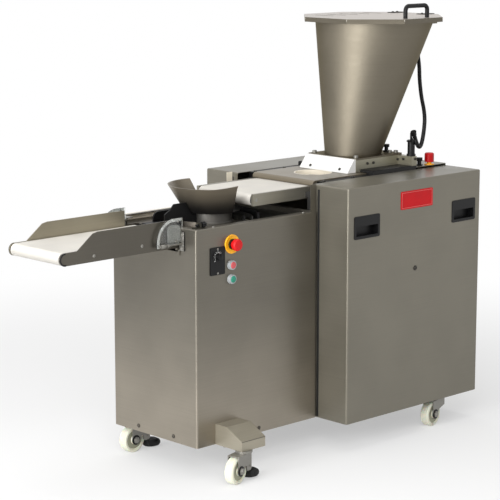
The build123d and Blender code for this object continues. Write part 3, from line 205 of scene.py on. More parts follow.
def steel(name, colour, rough, turned=False, spread=0.08, metal=STEEL_METAL, **sockets):
    """Brushed stainless sheet: level streaks on walls, streaks along X on tops unless it is a
    turned form, and faint clouds of handling."""
    look = Look(name, colour, rough, metal, **sockets)
    streaks = look.noise(WALL_STREAKS, STREAK_DETAIL)
    if not turned:
        tops = look.noise(TOP_STREAKS, STREAK_DETAIL)
        level = look.remap(look.math("ABSOLUTE", look.upward()), *LEVEL_FACE)
        upright = look.math("SUBTRACT", 1.0, level)
        streaks = look.math("ADD", look.times(streaks, upright), look.times(tops, level))
    clouds = look.noise(HANDLING, HANDLING_DETAIL)
    handled = look.times(clouds, 1 - STREAK_SHARE)
    share = look.math("ADD", look.times(streaks, STREAK_SHARE), handled)
    look.wear(share, colour, spread, rough - 0.05, rough + 0.07)
    look.bump(streaks, STREAK_BUMP, STREAK_DEPTH)
    return look


SHADE, SHADE_DETAIL, GRAIN_DETAIL, GRAIN_DEPTH = 14.0, 3.0, 2.0, 0.0002


def moulded(name, colour, rough, grain=1400.0, strength=0.18, spread=0.12, **sockets):
    """Moulded plastic or paint: a fine grain, and a soft change of shade."""
    look = Look(name, colour, rough, **sockets)
    look.wear(look.noise(SHADE, SHADE_DETAIL), colour, spread, rough - 0.05, rough + 0.05)
    look.bump(look.noise(grain, GRAIN_DETAIL), strength, GRAIN_DEPTH)
    return look


def clear(name, colour, rough, through, specular, smears, detail, smoothest, roughest):
    """Clear plastic with smears."""
    look = Look(name, colour, rough, Transmission_Weight=through, IOR=1.4,
                Specular_IOR_Level=specular)
    smeared = look.remap(look.noise(smears, detail), *PATCH_BAND, smoothest, roughest)
    look.feed("Roughness", smeared)
    return look


WARP, WEFT, WEAVE_DETAIL = (900, 40, 900), (40, 900, 40), 1.0
WEAVE_BUMP, WEAVE_DEPTH = 0.25, 0.0004
DUST, DUST_DETAIL = 9.0, 5.0
# the span over which the belt's painted shade fades out
BELT_TURN = (-0.5, 0.9)  # how level the belt lies from the roller's side to its top


def belt_look():
    """Coated belt: a fine weave with dusty patches, darkened as painted shade where it turns round
    its rollers.
    """
    colour = tone(208, 204, 196)
    turn_shade, clean, dusty = [shaded(colour, factor) for factor in (0.6, 0.93, 1.04)]
    look = Look("belt", colour, 0.6)
    weave = look.times(look.noise(WARP, WEAVE_DETAIL), look.noise(WEFT, WEAVE_DETAIL))
    dust = look.remap(look.noise(DUST, DUST_DETAIL), *PATCH_BAND)
    level = look.remap(look.upward(), *BELT_TURN)
    # painted shade on the belt's turn round the rollers
    look.feed("Base Color", look.mix(level, turn_shade, look.mix(dust, clean, dusty)))
    look.feed("Roughness", look.remap(dust, 0, 1, 0.55, 0.75))
    look.bump(weave, WEAVE_BUMP, WEAVE_DEPTH)
    return look


ALLOY_TONE, ZINC_TONE = tone(156, 152, 135), tone(132, 130, 124)
# painted shade: the frame's tone and the outfeed's near-plate tone are darkened
CABINET_TONE, FRAME_SHADE_TONE, OUTFEED_SHADE_TONE = tone(112, 108, 98), tone(92, 90, 84), tone(86, 82, 74)
TRAY_TONE, YELLOW_TONE, CHALK_TONE = tone(112, 107, 99), tone(248, 178, 24), tone(226, 226, 224)

PANEL = steel("panel_steel", tone(119, 115, 104), 0.37)
BRACKET = steel("bracket_steel", tone(155, 149, 134), 0.36)
HOPPER_STEEL = steel("hopper_steel", tone(113, 107, 95), 0.46, turned=True, metal=1.0,
                     Anisotropic=0.4, Specular_Tint=tone(190, 185, 172))
PLATE_STEEL = steel("shuttle_steel", tone(125, 116, 100), 0.36)
RAIL_STEEL = steel("infeed_steel", tone(142, 138, 126), 0.34)
ALLOY = steel("machined_alloy", ALLOY_TONE, 0.33)
ROLLER = steel("roller_steel", tone(150, 149, 146), 0.28)
ZINC = steel("zinc_plate", ZINC_TONE, 0.36, spread=0.12)
DARK_ZINC = steel("dark_screws", tone(60, 58, 54), 0.4)
# pale tone of the lid's corner beads, a painted highlight
WELD_HIGHLIGHT = steel("weld_highlight", tone(156, 151, 142), 0.34)
BLACK = moulded("black_plastic", tone(13, 13, 14), 0.42, Specular_IOR_Level=0.25)
RUBBER = moulded("black_rubber", tone(18, 18, 18), 0.62, grain=900.0, Specular_IOR_Level=0.3)
WHITE = moulded("white_plastic", CHALK_TONE, 0.42, spread=0.03, Specular_IOR_Level=0.35)
LINER = moulded("pocket_liner", tone(226, 218, 202), 0.42, spread=0.05)
RED = moulded("red_plastic", tone(192, 12, 18), 0.34, spread=0.05, strength=0.06,
              Specular_IOR_Level=0.3)
YELLOW = moulded("yellow_plastic", YELLOW_TONE, 0.36, spread=0.05, strength=0.06)
STOP_RED = moulded("stop_lens", tone(188, 76, 80), 0.3, spread=0.06, strength=0.05)
START_GREEN = moulded("start_lens", tone(22, 128, 104), 0.3, spread=0.06, strength=0.05)
GREY = moulded("enclosure_grey", tone(172, 174, 174), 0.5)
MOTOR = moulded("motor_paint", tone(88, 98, 108), 0.45)
NYLON = moulded("wheel_nylon", tone(212, 212, 193), 0.4, spread=0.05, strength=0.08,
                Subsurface_Weight=0.15, Subsurface_Scale=0.004)
# olive-grey tone for the wheels' web recesses, a painted shade
RECESS_SHADE = moulded("wheel_recess_shade", tone(146, 146, 124), 0.5)
MARK = moulded("dial_marks", CHALK_TONE, 0.5, spread=0.03)
PLATE_RED = moulded("plate_red", tone(186, 14, 22), 0.4, spread=0.06, strength=0.06,
                    Specular_IOR_Level=0.2)
PLATE_LINE = moulded("plate_line", tone(220, 120, 116), 0.4, spread=0.04)
MILKY = moulded("milky_plate", tone(150, 150, 147), 0.35, spread=0.12)
CLEAR = clear("clear_sheet", tone(240, 242, 240), 0.1, through=0.98, specular=0.35,
              smears=30.0, detail=4.0, smoothest=0.05, roughest=0.16)
RIM = clear("clear_rim", tone(206, 208, 204), 0.25, through=0.55, specular=0.4,
            smears=60.0, detail=3.0, smoothest=0.2, roughest=0.35)


# Looks that change over a piece, between two values of a coordinate or of how level a face lies

# Heights of the funnel's painted shade, from its foot up to its paler rim, and of its neck ring
FUNNEL_CUP, FUNNEL_NECK = (0.83, 0.912), (0.818, 0.823)
# Heights of the cabinet's painted floor reflection, and the span of the painted light on its far
# inner wall
PAINTED_FLOOR_LIGHT_SPAN = (0.12, 0.6)
LIT_WALL_FROM, LIT_WALL_TO, LIT_WALL_UP = (0.19, 0.195), (0.2038, 0.2042), (0.765, 0.77)
# Where the cabinet's latch strap is made dark as painted shade
STRAP_UP, STRAP_END = (0.8115, 0.8125), (-0.3, -0.29)
OUTFEED_MIDDLE = (-0.01, 0.01)
FOOT_OUT, FOOT_TOP = (0.1174, 0.118), (0.9124, 0.9128)
LUG_END, LUG_UP = (0.19, 0.2), (0.8, 0.81)
# how level a face of the lid lies, from its painted-shade skirt to its painted-light top
LID_LIT_FACE = (0.5, 0.8)
# where the tray's painted shade under the infeed belt begins, along X
TRAY_SHADE_FROM = (-0.078, -0.068)
NECK_FROM, REAR_BASE_FROM = 0.715, 0.85
LOW_SCREWS = (0.3, 0.35)


def funnel_look():
    """Spun funnel: darker outside towards its foot as painted shade, a rim paler as a painted
    highlight, and a paler neck ring.
    """
    look = steel("funnel_steel", tone(118, 110, 98), 0.36, turned=True)
    foot, rim, ring = [look.varied(tone(*c)) for c in (
        (40, 39, 38), (124, 116, 102), (106, 104, 100))]
    height = look.axis("Z")
    # painted shade darkening the cup towards its foot, and a painted highlight at its rim
    cup = look.mix(look.remap(height, *FUNNEL_CUP), foot, rim)
    look.feed("Base Color", look.mix(look.remap(height, *FUNNEL_NECK, 1, 0), cup, ring))
    return look


def cabinet_look():
    """Rounder's cabinet: paler towards the floor as a painted floor reflection, painted light on
    the inside of its far wall, and a latch strap made dark as painted shade."""
    metal, lit_wall_metal = 0.85, 0.1
    look = steel("cabinet_steel", CABINET_TONE, 0.37, metal=metal)
    wall, floor_light, lit_wall, strap_shade = [look.varied(tone(*c)) for c in (
        (112, 108, 99), (147, 140, 128), (244, 234, 214), (58, 56, 49))]
    height, deep = look.axis("Z"), look.axis("Y")
    # painted reflection of the floor: the walls paler towards the floor
    walls = look.mix(look.remap(height, *PAINTED_FLOOR_LIGHT_SPAN, 1, 0), wall, floor_light)
    # painted light: the inside of the far wall made near white and less metallic
    inner = look.times(look.remap(deep, *LIT_WALL_FROM), look.remap(deep, *LIT_WALL_TO, 1, 0))
    inner = look.times(inner, look.remap(height, *LIT_WALL_UP))
    # painted shade: the latch strap made dark
    strap_end = look.remap(look.axis("X"), *STRAP_END, 1, 0)
    strapped = look.times(look.remap(height, *STRAP_UP), strap_end)
    look.feed("Base Color", look.mix(strapped, look.mix(inner, walls, lit_wall), strap_shade))
    look.feed("Metallic", look.remap(inner, 0, 1, metal, lit_wall_metal))
    return look


def outfeed_look():
    """Outfeed's side plates: the near one dark as painted shade, the far one, seen from inside,
    bright as painted light.
    """
    look = steel("conveyor_steel", OUTFEED_SHADE_TONE, 0.36)
    # painted shade on the near plate, painted light on the far one
    look.parted(look.remap(look.axis("Y"), *OUTFEED_MIDDLE), OUTFEED_SHADE_TONE, tone(150, 143, 125))
    return look


def head_look():
    """Head block: machined alloy, with black feet on the slide rails."""
    look = steel("head_alloy", ALLOY_TONE, 0.33)
    out = look.remap(look.math("ABSOLUTE", look.axis("Y")), *FOOT_OUT)
    foot = look.times(out, look.remap(look.axis("Z"), *FOOT_TOP, 1, 0))
    look.parted(foot, ALLOY_TONE, tone(20, 20, 21))
    look.feed("Metallic", look.remap(foot, 0, 1, STEEL_METAL, 0))
    return look


def frame_look():
    """Painted frame, its tone darkened as painted shade for where it stands inside the machine,
    blackened where it carries the infeed.
    """
    # painted shade: the frame's tone is darkened to the shade it stands in
    look = moulded("frame_paint", FRAME_SHADE_TONE, 0.5)
    end, up = look.remap(look.axis("X"), *LUG_END, 1, 0), look.remap(look.axis("Z"), *LUG_UP)
    look.parted(look.times(end, up), FRAME_SHADE_TONE, tone(36, 35, 34))
    return look


def lid_look():
    """Lid: painted light on top, and painted shade making its turned-down skirt browner."""
    look = steel("lid_steel", tone(158, 151, 144), 0.38)
    # painted shade on the skirt and painted light on the top, by how level a face lies
    look.parted(look.remap(look.upward(), *LID_LIT_FACE), tone(100, 94, 82), tone(170, 163, 156))
    return look


def tray_look():
    """Tray: bare steel in front, black under the infeed belt as painted shade."""
    look = steel("tray_steel", TRAY_TONE, 0.4)
    # painted shade: black and not metallic where the tray lies under the infeed belt
    under_belt_shade = look.remap(look.axis("X"), *TRAY_SHADE_FROM)
    look.parted(under_belt_shade, TRAY_TONE, tone(40, 39, 37))
    look.feed("Metallic", look.remap(under_belt_shade, 0, 1, 1, 0))
    return look


def collar_look():
    """Control collars by height: pale bezels, the front stop's black neck, the yellow rear base."""
    look = moulded("collars", tone(176, 178, 178), 0.36, spread=0.05, strength=0.06)
    ramp = look.node("ShaderNodeValToRGB")
    ramp.color_ramp.interpolation = "CONSTANT"
    stops = ramp.color_ramp.elements
    for at, colour in ((NECK_FROM, tone(24, 22, 20)), (REAR_BASE_FROM, YELLOW_TONE)):
        stops.new(at).color = colour
    stops[0].color = tone(150, 154, 156)
    stops[-1].color = YELLOW_TONE
    look.link(look.axis("Z"), ramp.inputs["Fac"])
    look.feed("Base Color", ramp.outputs["Color"])
    return look


def screw_look():
    """Screw heads: paler on the cabinet's lip, darker near the floor."""
    look = steel("screw_heads", ZINC_TONE, 0.36, spread=0.12)
    look.parted(look.remap(look.axis("Z"), *LOW_SCREWS, 1, 0), ZINC_TONE, tone(84, 80, 73))
    return look


SCREWS = screw_look()
FINISH = {
    cabinet_look(): ["rounder_cabinet"],
    PANEL: ["near_cover", "far_cover", "rear_cover"],
    BRACKET: ["outrigger_bracket"],
    HOPPER_STEEL: ["hopper"],
    lid_look(): ["hopper_lid"],
    outfeed_look(): ["outfeed_sides"],
    PLATE_STEEL: ["shuttle_plate"],
    RAIL_STEEL: ["infeed_rails"],
    frame_look(): ["base_frame"],
    head_look(): ["head_block"],
    ALLOY: ["shuttle_rack", "rounding_bowl"],
    ROLLER: ["outfeed_nose_roller", "outfeed_drive_roller", "infeed_nose_roller",
             "infeed_drive_roller", "lid_hinge_pin", "drive_pinion"],
    ZINC: ["caster_plates", "rounder_far_fork", "rounder_near_fork", "divider_near_fork",
           "divider_far_fork"],
    SCREWS: ["fasteners"],
    BLACK: ["slide_rails", "near_cover_pulls", "far_cover_pulls", "lid_handle", "lid_switch",
            "conduit", "conduit_end", "conduit_post", "speed_panel", "speed_knob", "latch_knob",
            "hopper_clamp_knob", "rear_clamp_knob", "spiral_track"],
    RUBBER: ["rounder_far_pedal", "rounder_near_pedal"],
    WHITE: ["feed_wedge"],
    belt_look(): ["outfeed_belt", "infeed_belt"],
    RED: ["front_estop_button", "rear_estop_button"],
    STOP_RED: ["stop_button"],
    START_GREEN: ["start_button"],
    GREY: ["control_box"],
    MOTOR: ["rounder_motor", "shuttle_motor"],
    NYLON: ["rounder_far_wheel", "rounder_near_wheel", "divider_near_wheel", "divider_far_wheel"],
    CLEAR: ["side_guards"],
    funnel_look(): ["feed_funnel"],
    tray_look(): ["rounder_tray"],
    collar_look(): ["control_collars"],
}


def finish(target, look):
    target.data.materials.clear()
    target.data.materials.append(look.material)


for look, names in FINISH.items():
    for name in names:
        finish(nodes[name], look)


# Mesh tools, in millimetres

CREASE = radians(32)
CORNER_STEPS = 6


def piece(name, mesh, look, body):
    """Turns a bmesh into a piece of the part with crisp edges and smooth curves."""
    bmesh.ops.recalc_face_normals(mesh, faces=mesh.faces)
    for face in mesh.faces:
        face.smooth = True
    for edge in mesh.edges:
        edge.smooth = len(edge.link_faces) == 2 and edge.calc_face_angle() < CREASE
    bmesh.ops.scale(mesh, vec=(MM, MM, MM), verts=mesh.verts)
    data = bpy.data.meshes.new(name)
    mesh.to_mesh(data)
    mesh.free()
    made = bpy.data.objects.new(name, data)
    scene.collection.objects.link(made)
    finish(made, look)
    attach(made, body)
    return made


def stacked(mesh, outlines, hollow=False):
    """Joins outlines of the same count of 3-D points, closed by a face at both ends or hollow."""
    loops = [[mesh.verts.new(p) for p in outline] for outline in outlines]
    count = len(loops[0])
    pairs = list(zip(loops, loops[1:]))
    if hollow:
        pairs.append((loops[-1], loops[0]))
    for first, second in pairs:
        for k in range(count):
            n = (k + 1) % count
            mesh.faces.new((first[k], first[n], second[n], second[k]))
    if not hollow:
        mesh.faces.new(loops[0])
        mesh.faces.new(loops[-1])


def strip(mesh, lines):
    """Joins lines that run side by side into a closed band with two end faces."""
    stacked(mesh, list(zip(*lines)))


def turned(mesh, at, axis, rings, sides=32, hollow=False):
    """Adds a turned form: rings of radius and height along an axis. A radius may be a function of
    the turn."""
    w = Vector(axis).normalized()
    u = w.orthogonal().normalized()
    v = w.cross(u)
    turns = [2 * pi * k / sides for k in range(sides)]

    def ring(radius, height):
        reach = radius if callable(radius) else lambda turn: radius
        return [Vector(at) + (u * cos(t) + v * sin(t)) * reach(t) + w * height for t in turns]

    stacked(mesh, [ring(radius, height) for radius, height in rings], hollow)


def box(mesh, low, high, bevel):
    """Adds a box between two corners, with its edges bevelled."""
    made = bmesh.ops.create_cube(mesh, size=1.0)
    for vert in made["verts"]:
        vert.co = Vector([(a + b) / 2 + c * (b - a) for c, a, b in zip(vert.co, low, high)])
    edges = {e for v in made["verts"] for e in v.link_edges}
    bmesh.ops.bevel(mesh, geom=list(edges), offset=bevel, segments=2, affect="EDGES", profile=0.5)


def aside(side, inner, outer):
    """The lower and the higher Y of a span on one side of the middle."""
    return sorted((side * inner, side * outer))


def rounded(width, height, radius):
    """Points of a rounded rectangle about its middle, anticlockwise."""
    points = []
    for cx, cy, start in ((1, 1, 0), (-1, 1, 90), (-1, -1, 180), (1, -1, 270)):
        for k in range(CORNER_STEPS + 1):
            turn = radians(start + 90 * k / CORNER_STEPS)
            points.append((cx * (width / 2 - radius) + radius * cos(turn),
                           cy * (height / 2 - radius) + radius * sin(turn)))
    return points


def hexagon(corner):
    """Radius of a hexagon by the turn."""
    return lambda turn: corner * cos(pi / 6) / cos(turn % (pi / 3) - pi / 6)


# Screw heads. Their proportions are shares of the radius and the height.

DRILL_DEPTH = 0.05


def key_socket(radius, height, width, floor, point):
    """Rings of a hexagon socket in a head's top, with a drill point in its floor."""
    key = hexagon(width * radius)
    return [(key, height), (key, floor * height), (point * radius, (floor - DRILL_DEPTH) * height)]


def socket_screw(mesh, at, axis, radius, height):
    """A cap screw with a hexagon socket."""
    edge = 0.12 * radius
    head = [(radius, 0), (radius, height - edge), (radius - edge, height)]
    turned(mesh, at, axis, head + key_socket(radius, height, width=0.55, floor=0.45, point=0.08))


def pan_screw(mesh, at, axis, radius, height):
    """A pan-head screw on a washer, with a hexagon socket."""
    washer = 1.35 * radius
    head = [(washer, 0), (washer, 0.2 * height), (radius, 0.22 * height), (radius, 0.55 * height),
            (0.86 * radius, 0.85 * height), (0.62 * radius, height)]
    turned(mesh, at, axis, head + key_socket(radius, height, width=0.42, floor=0.6, point=0.06))


def hex_bolt(mesh, at, axis, corner, height):
    """A hexagon head with a chamfered top on its washer."""
    washer, flat, body = 1.2 * corner, corner * cos(pi / 6), hexagon(corner)
    head = [(washer, 0), (washer, 0.18 * height), (body, 0.2 * height), (body, 0.88 * height),
            (0.94 * flat, height), (0.5 * flat, height)]
    turned(mesh, at, axis, head, sides=36)


def screw_group(name, look, body, *rows):
    """A piece of screws. A row has their kind, their radius and height, their axis and places."""
    mesh = bmesh.new()
    for kind, size, axis, places in rows:
        for at in places:
            kind(mesh, at, axis, *size)
    return piece(name, mesh, look, body)


# Conduit of the lid switch

CONDUIT_ROUTE = [
    (860, -14, 1322), (860, -14, 1303), (860, -18, 1281), (857, -25, 1258), (848, -36, 1232),
    (833, -50, 1205), (818.5, -67, 1172), (807, -84, 1135), (801, -101, 1097), (789, -117, 1062),
    (764, -135, 1025), (734, -154, 992), (705, -170, 974), (680, -181, 979), (660, -187, 1002),
    (648, -190, 1024),
]
CONDUIT_R, CONDUIT_SIDES, ROUTE_STEPS = 7.4, 20, 24
RIB_PITCH, RIB_DEPTH, RIB_STEPS, RIB_FULLNESS = 4.0, 1.2, 6, 0.6


def spline_points(route):
    """Points along the NURBS line that has the route as its control points."""
    curve = bpy.data.curves.new("route", "CURVE")
    curve.dimensions = "3D"
    curve.resolution_u = ROUTE_STEPS
    spline = curve.splines.new("NURBS")
    spline.points.add(len(route) - 1)
    for point, at in zip(spline.points, route):
        point.co = (*[c * MM for c in at], 1.0)
    spline.order_u = 3
    spline.use_endpoint_u = True
    holder = bpy.data.objects.new("route", curve)
    scene.collection.objects.link(holder)
    bpy.context.view_layer.update()
    graph = bpy.context.evaluated_depsgraph_get()
    mesh = bpy.data.meshes.new_from_object(holder.evaluated_get(graph))
    points = [v.co.copy() for v in mesh.vertices]
    bpy.data.objects.remove(holder)
    bpy.data.curves.remove(curve)
    bpy.data.meshes.remove(mesh)
    return points


def ribbed_tube(points):
    """A closed tube along the points, with rounded ribs all along but at its two plain ends."""
    reach = [0.0]
    for a, b in zip(points, points[1:]):
        reach.append(reach[-1] + (b - a).length / MM)
    total = reach[-1]
    ribs = int((total - 4 * CONDUIT_R) / RIB_PITCH)
    plain = (total - ribs * RIB_PITCH) / 2
    stations = [(0.0, CONDUIT_R)]
    for k in range(ribs * RIB_STEPS + 1):
        swell = 0.5 + 0.5 * cos(2 * pi * k / RIB_STEPS)
        radius = CONDUIT_R - RIB_DEPTH * (1 - swell ** RIB_FULLNESS)
        stations.append((plain + k * RIB_PITCH / RIB_STEPS, radius))
    stations.append((total, CONDUIT_R))
    turns = [2 * pi * k / CONDUIT_SIDES for k in range(CONDUIT_SIDES)]
    loops, i = [], 0
    for at, radius in stations:
        while i < len(reach) - 2 and reach[i + 1] < at:
            i += 1
        share = (at - reach[i]) / (reach[i + 1] - reach[i])
        middle = points[i].lerp(points[i + 1], share) / MM
        forward = (points[min(i + 2, len(points) - 1)] - points[max(i - 1, 0)]).normalized()
        u = Vector(NEAR).cross(forward).normalized()
        v = forward.cross(u)
        loops.append([middle + (u * cos(t) + v * sin(t)) * radius for t in turns])
    mesh = bmesh.new()
    stacked(mesh, loops)
    return mesh


conduit_line = spline_points(CONDUIT_ROUTE)
conduit = piece("ribbed_conduit", ribbed_tube(conduit_line), BLACK, "base")
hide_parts("conduit")


# Screws of the cabinet and bolts of the hopper's flange

LIP_Z, FRONT_X, FLANGE_Z = 811, -400, 952
LIP_SCREW, CABINET_SCREW, FLANGE_BOLT = (4, 3), (5.2, 3.4), (8, 9)
FLANGE_BOLTS = [(x, side * y, FLANGE_Z) for x, y in ((446, 100), (654, 100), (640, 84))
                for side in SIDES]

made = screw_group(
    "cabinet_and_flange_screws", SCREWS, "base",
    (pan_screw, LIP_SCREW, UP, [(-318.5, -197, LIP_Z), (86, -198, LIP_Z)]),
    (pan_screw, CABINET_SCREW, NEAR, [(-124, WALL_Y, 116)]),
    (pan_screw, CABINET_SCREW, FRONT, [(FRONT_X, -91, 119), (FRONT_X, 83, 119)]),
    (socket_screw, FLANGE_BOLT, UP, FLANGE_BOLTS),
)
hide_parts("fasteners")


# Controls

ESTOP = (-246, WALL_Y, 749)
DISC = [(17.2, 2.0), (17.2, 3.0), (18.5, 3.4), (27.5, 3.4), (28.5, 4.0), (30.0, 4.0), (30.8, 3.2),
        (30.8, 0.0), (30.1, 0.0), (30.1, 2.05)]
PANEL_FACE = WALL_Y - 3.0
KNOB = (-309, PANEL_FACE, 716)
DIAL_START, DIAL_SWEEP, DIAL_THICK = 225, 270, 0.25
TICKS, LONG_EVERY, TICK_FOOT = 11, 5, 16.5
LONG_TICK, SHORT_TICK = (20.5, 0.6), (18.5, 0.4)  # radius of the tip, and half the width
ARC_STEPS, ARC_R, ARC_WIDTH, ARC_GROWTH = 40, 13.2, 0.3, 1.5


def estop_disc():
    """Yellow disc behind the front emergency stop, with a raised rim."""
    mesh = bmesh.new()
    turned(mesh, ESTOP, NEAR, DISC, sides=64, hollow=True)
    piece("front_estop_disc", mesh, YELLOW, "base")


def dial():
    """A widening arc and plain tick marks round the speed knob."""
    mesh = bmesh.new()
    middle, raised = Vector(KNOB), Vector(NEAR) * DIAL_THICK

    def spoke(share):
        turn = radians(DIAL_START - DIAL_SWEEP * share)
        return Vector((cos(turn), 0, sin(turn)))

    for k in range(TICKS):
        along = spoke(k / (TICKS - 1))
        tip, half = SHORT_TICK if k % LONG_EVERY else LONG_TICK
        across = Vector((-along.z, 0, along.x)) * half
        foot, end = middle + along * TICK_FOOT, middle + along * tip
        corners = [foot - across, end - across, end + across, foot + across]
        stacked(mesh, [corners, [c + raised for c in corners]])
    rings = []
    for share in [k / ARC_STEPS for k in range(ARC_STEPS + 1)]:
        low = middle + spoke(share) * ARC_R
        high = middle + spoke(share) * (ARC_R + ARC_WIDTH + ARC_GROWTH * share)
        rings.append([low, high, high + raised, low + raised])
    stacked(mesh, rings)
    piece("speed_dial_marks", mesh, MARK, "base")


estop_disc()
dial()
screw_group("speed_panel_screws", ZINC, "base",
            (pan_screw, (2.6, 1.8), NEAR, [(-309.5, PANEL_FACE, z) for z in (741, 662)]))


# Outfeed's guards

GUARD_X, GUARD_Y, GUARD_Z, GUARD_R = (-506, -400), 141.1, (757, 845), 71  # R: upper corner
BAND_STEPS, BAND_SHORT, BAND_THICK = 24, 5, 1.2
BAND_OUTER, BAND_INNER = 0.3, 9  # drawn in from the guard's edge
INNER_PLATE, INNER_AT, INNER_Y = (54, 62, 14), (-433, 793), (135.4, 136.9)
GUARD_STRIP_X, GUARD_STRIP_Y, GUARD_STRIP_Z = (-405.4, -404.1), (132, 152.5), (739, 799)
GUARD_BOLTS = [(GUARD_STRIP_X[0], side * 146, z) for side in SIDES for z in (748, 789)]
GUARD_SCREWS = ((-427, 771, 4.2), (-418, 835, 3.2))  # X, Z and radius
ROD_AT = (-503, 148.5, 763)
ROD = [(2, 0), (2.6, 1), (2.6, 8), (6.4, 8), (7, 9), (7, 24), (6.4, 25), (4, 25), (4, 30),
       (6.6, 30), (6.6, 36), (4, 37), (2.6, 37), (2.6, 96), (2, 97)]


def guard_details():
    """Edge bands, inner plates, flange strips, screws and clamp rods of the two clear guards."""
    bands, plates, strips, rods = [bmesh.new() for _ in range(4)]
    middle = (GUARD_X[0] + GUARD_R, GUARD_Z[1] - GUARD_R)
    turns = [radians(180 - 90 * k / BAND_STEPS) for k in range(BAND_STEPS + 1)]
    plate = [(x + INNER_AT[0], z + INNER_AT[1]) for x, z in rounded(*INNER_PLATE)]

    def edge(drawn_in, y):
        reach = GUARD_R - drawn_in
        arc = [(middle[0] + reach * cos(t), middle[1] + reach * sin(t)) for t in turns]
        line = [(arc[0][0], GUARD_Z[0]), *arc, (GUARD_X[1] - BAND_SHORT, arc[-1][1])]
        return [Vector((x, y, z)) for x, z in line]

    for side in SIDES:
        face, proud = side * GUARD_Y, side * (GUARD_Y + BAND_THICK)
        strip(bands, [edge(BAND_OUTER, face), edge(BAND_OUTER, proud),
                      edge(BAND_INNER, proud), edge(BAND_INNER, face)])
        stacked(plates, [[Vector((x, side * y, z)) for x, z in plate] for y in INNER_Y])
        low, high = aside(side, *GUARD_STRIP_Y)
        foot, top = GUARD_STRIP_Z
        box(strips, (GUARD_STRIP_X[0], low, foot), (GUARD_STRIP_X[1], high, top), bevel=0.5)
        turned(rods, (ROD_AT[0], side * ROD_AT[1], ROD_AT[2]), BACK, ROD, sides=24)
    piece("guard_bands", bands, RIM, "base")
    piece("guard_inner_plates", plates, MILKY, "base")
    piece("guard_flange_strips", strips, ZINC, "base")
    screw_group(
        "guard_screws", ZINC, "base",
        (hex_bolt, (5, 4), FRONT, GUARD_BOLTS),
        *[(pan_screw, (radius, 3), (0, side, 0), [(x, side * GUARD_Y, z)])
          for side in SIDES for x, z, radius in GUARD_SCREWS])
    piece("guard_clamp_rods", rods, ZINC, "base")


guard_details()


# Outfeed

NOSE_X, NOSE_Z, OUTFEED_Y = -859, 767, 127
NOSE_START, NOSE_SWEEP, NOSE_STEPS = 85, 195, 28
NOSE_TURNS = [radians(NOSE_START + NOSE_SWEEP * k / NOSE_STEPS) for k in range(NOSE_STEPS + 1)]
NOSE_CAP = ((15.5, 0), (15.5, 1.2), (17, 1.8), (19.9, 1.8), (20.3, 1.2), (20.3, 0))  # radius, out
OUTFEED_SCREWS = ((-748, 765), (-556, 771))


def nose_caps():
    """Dark caps round the noses of the outfeed's side plates."""
    mesh = bmesh.new()
    for side in SIDES:
        lines = []
        for reach, out in NOSE_CAP:
            y = side * (OUTFEED_Y + out)
            lines.append([Vector((NOSE_X + reach * cos(t), y, NOSE_Z + reach * sin(t)))
                          for t in NOSE_TURNS])
        strip(mesh, lines)
    piece("outfeed_nose_caps", mesh, BLACK, "outfeed")


screw_group(
    "outfeed_plate_screws", ZINC, "outfeed",
    *[(pan_screw, (4.2, 3), (0, side, 0), [(x, side * OUTFEED_Y, z) for x, z in OUTFEED_SCREWS])
      for side in SIDES],
)
nose_caps()


# Shuttle, slide rails, wedge and head block

POCKET = (335, 0, 886.2)
LINER_RINGS = [(63, 0), (62.6, 0.8), (62.6, 16.2), (63.2, 17), (66.2, 17), (66.8, 16.6),
               (66.8, 0)]
RAIL_TOP = 899
RAIL_BOLTS = [(x, side * 165, RAIL_TOP) for x in (217, 360) for side in SIDES]
WEDGE_SLOPE, WEDGE_SCREWS = (-0.804, 0, 0.594), ((394, 69, 914.9), (394, -72, 914.9))
HEAD_Y, HEAD_SCREW_Z, HEAD_SCREWS_X, HEAD_SCREW = 117, 931, (486, 517, 643.5), (4.6, 4)
STRIPS, STRIP_PITCH = 5, 12.8
FIRST_STRIP_Y, STRIPS_Z = (119.5, 130.5), (911.8, 914)
STRIPS_FROM, STRIPS_TO, STRIPS_TO_LUG = 449, 667, 644  # on the near side all but one end at the lug


def pocket_liner():
    """Pale liner in the shuttle's pocket."""
    mesh = bmesh.new()
    turned(mesh, POCKET, UP, LINER_RINGS, sides=72, hollow=True)
    piece("pocket_liner", mesh, LINER, "shuttle")


def rail_strips():
    """Ribbed black strips over the slide rails, beside the head block."""
    mesh = bmesh.new()
    for side in SIDES:
        for k in range(STRIPS):
            low, high = aside(side, *[y + STRIP_PITCH * k for y in FIRST_STRIP_Y])
            end = STRIPS_TO_LUG if side < 0 and k < STRIPS - 1 else STRIPS_TO
            box(mesh, (STRIPS_FROM, low, STRIPS_Z[0]), (end, high, STRIPS_Z[1]), bevel=0.7)
    piece("slide_rail_strips", mesh, BLACK, "base")


pocket_liner()
screw_group("slide_rail_bolts", DARK_ZINC, "base", (hex_bolt, (7, 5), UP, RAIL_BOLTS))
screw_group(
    "head_screws", DARK_ZINC, "base",
    (socket_screw, (5, 2.4), WEDGE_SLOPE, WEDGE_SCREWS),
    *[(socket_screw, HEAD_SCREW, (0, side, 0), [(x, side * HEAD_Y, HEAD_SCREW_Z)])
      for side in SIDES for x in HEAD_SCREWS_X],
    (socket_screw, HEAD_SCREW, FRONT, [(646, -144, 934.5)]),
    (socket_screw, HEAD_SCREW, NEAR, [(663, -183, 937)]),
)
rail_strips()


# Lid

LID_X, LID_APOTHEM, LID_FOOT, LID_TOP = 632, 240, 1417, 1433
WELD_IN, WELD_LIFT = 1.2, 0.5
WELD_BEAD = [(0.8, 6), (1.5, 7), (1.8, 11), (1.6, 13.6), (0.8, 14.8)]
TAB_X, TAB_HALF, TAB_Z = (806, 868), 16, (LID_TOP - 0.2, LID_TOP + 2.6)
HINGES = (-70, 70)
HINGE_SCREWS = [(x, y, LID_TOP + 2.4) for y in HINGES for x in (818, 842)]


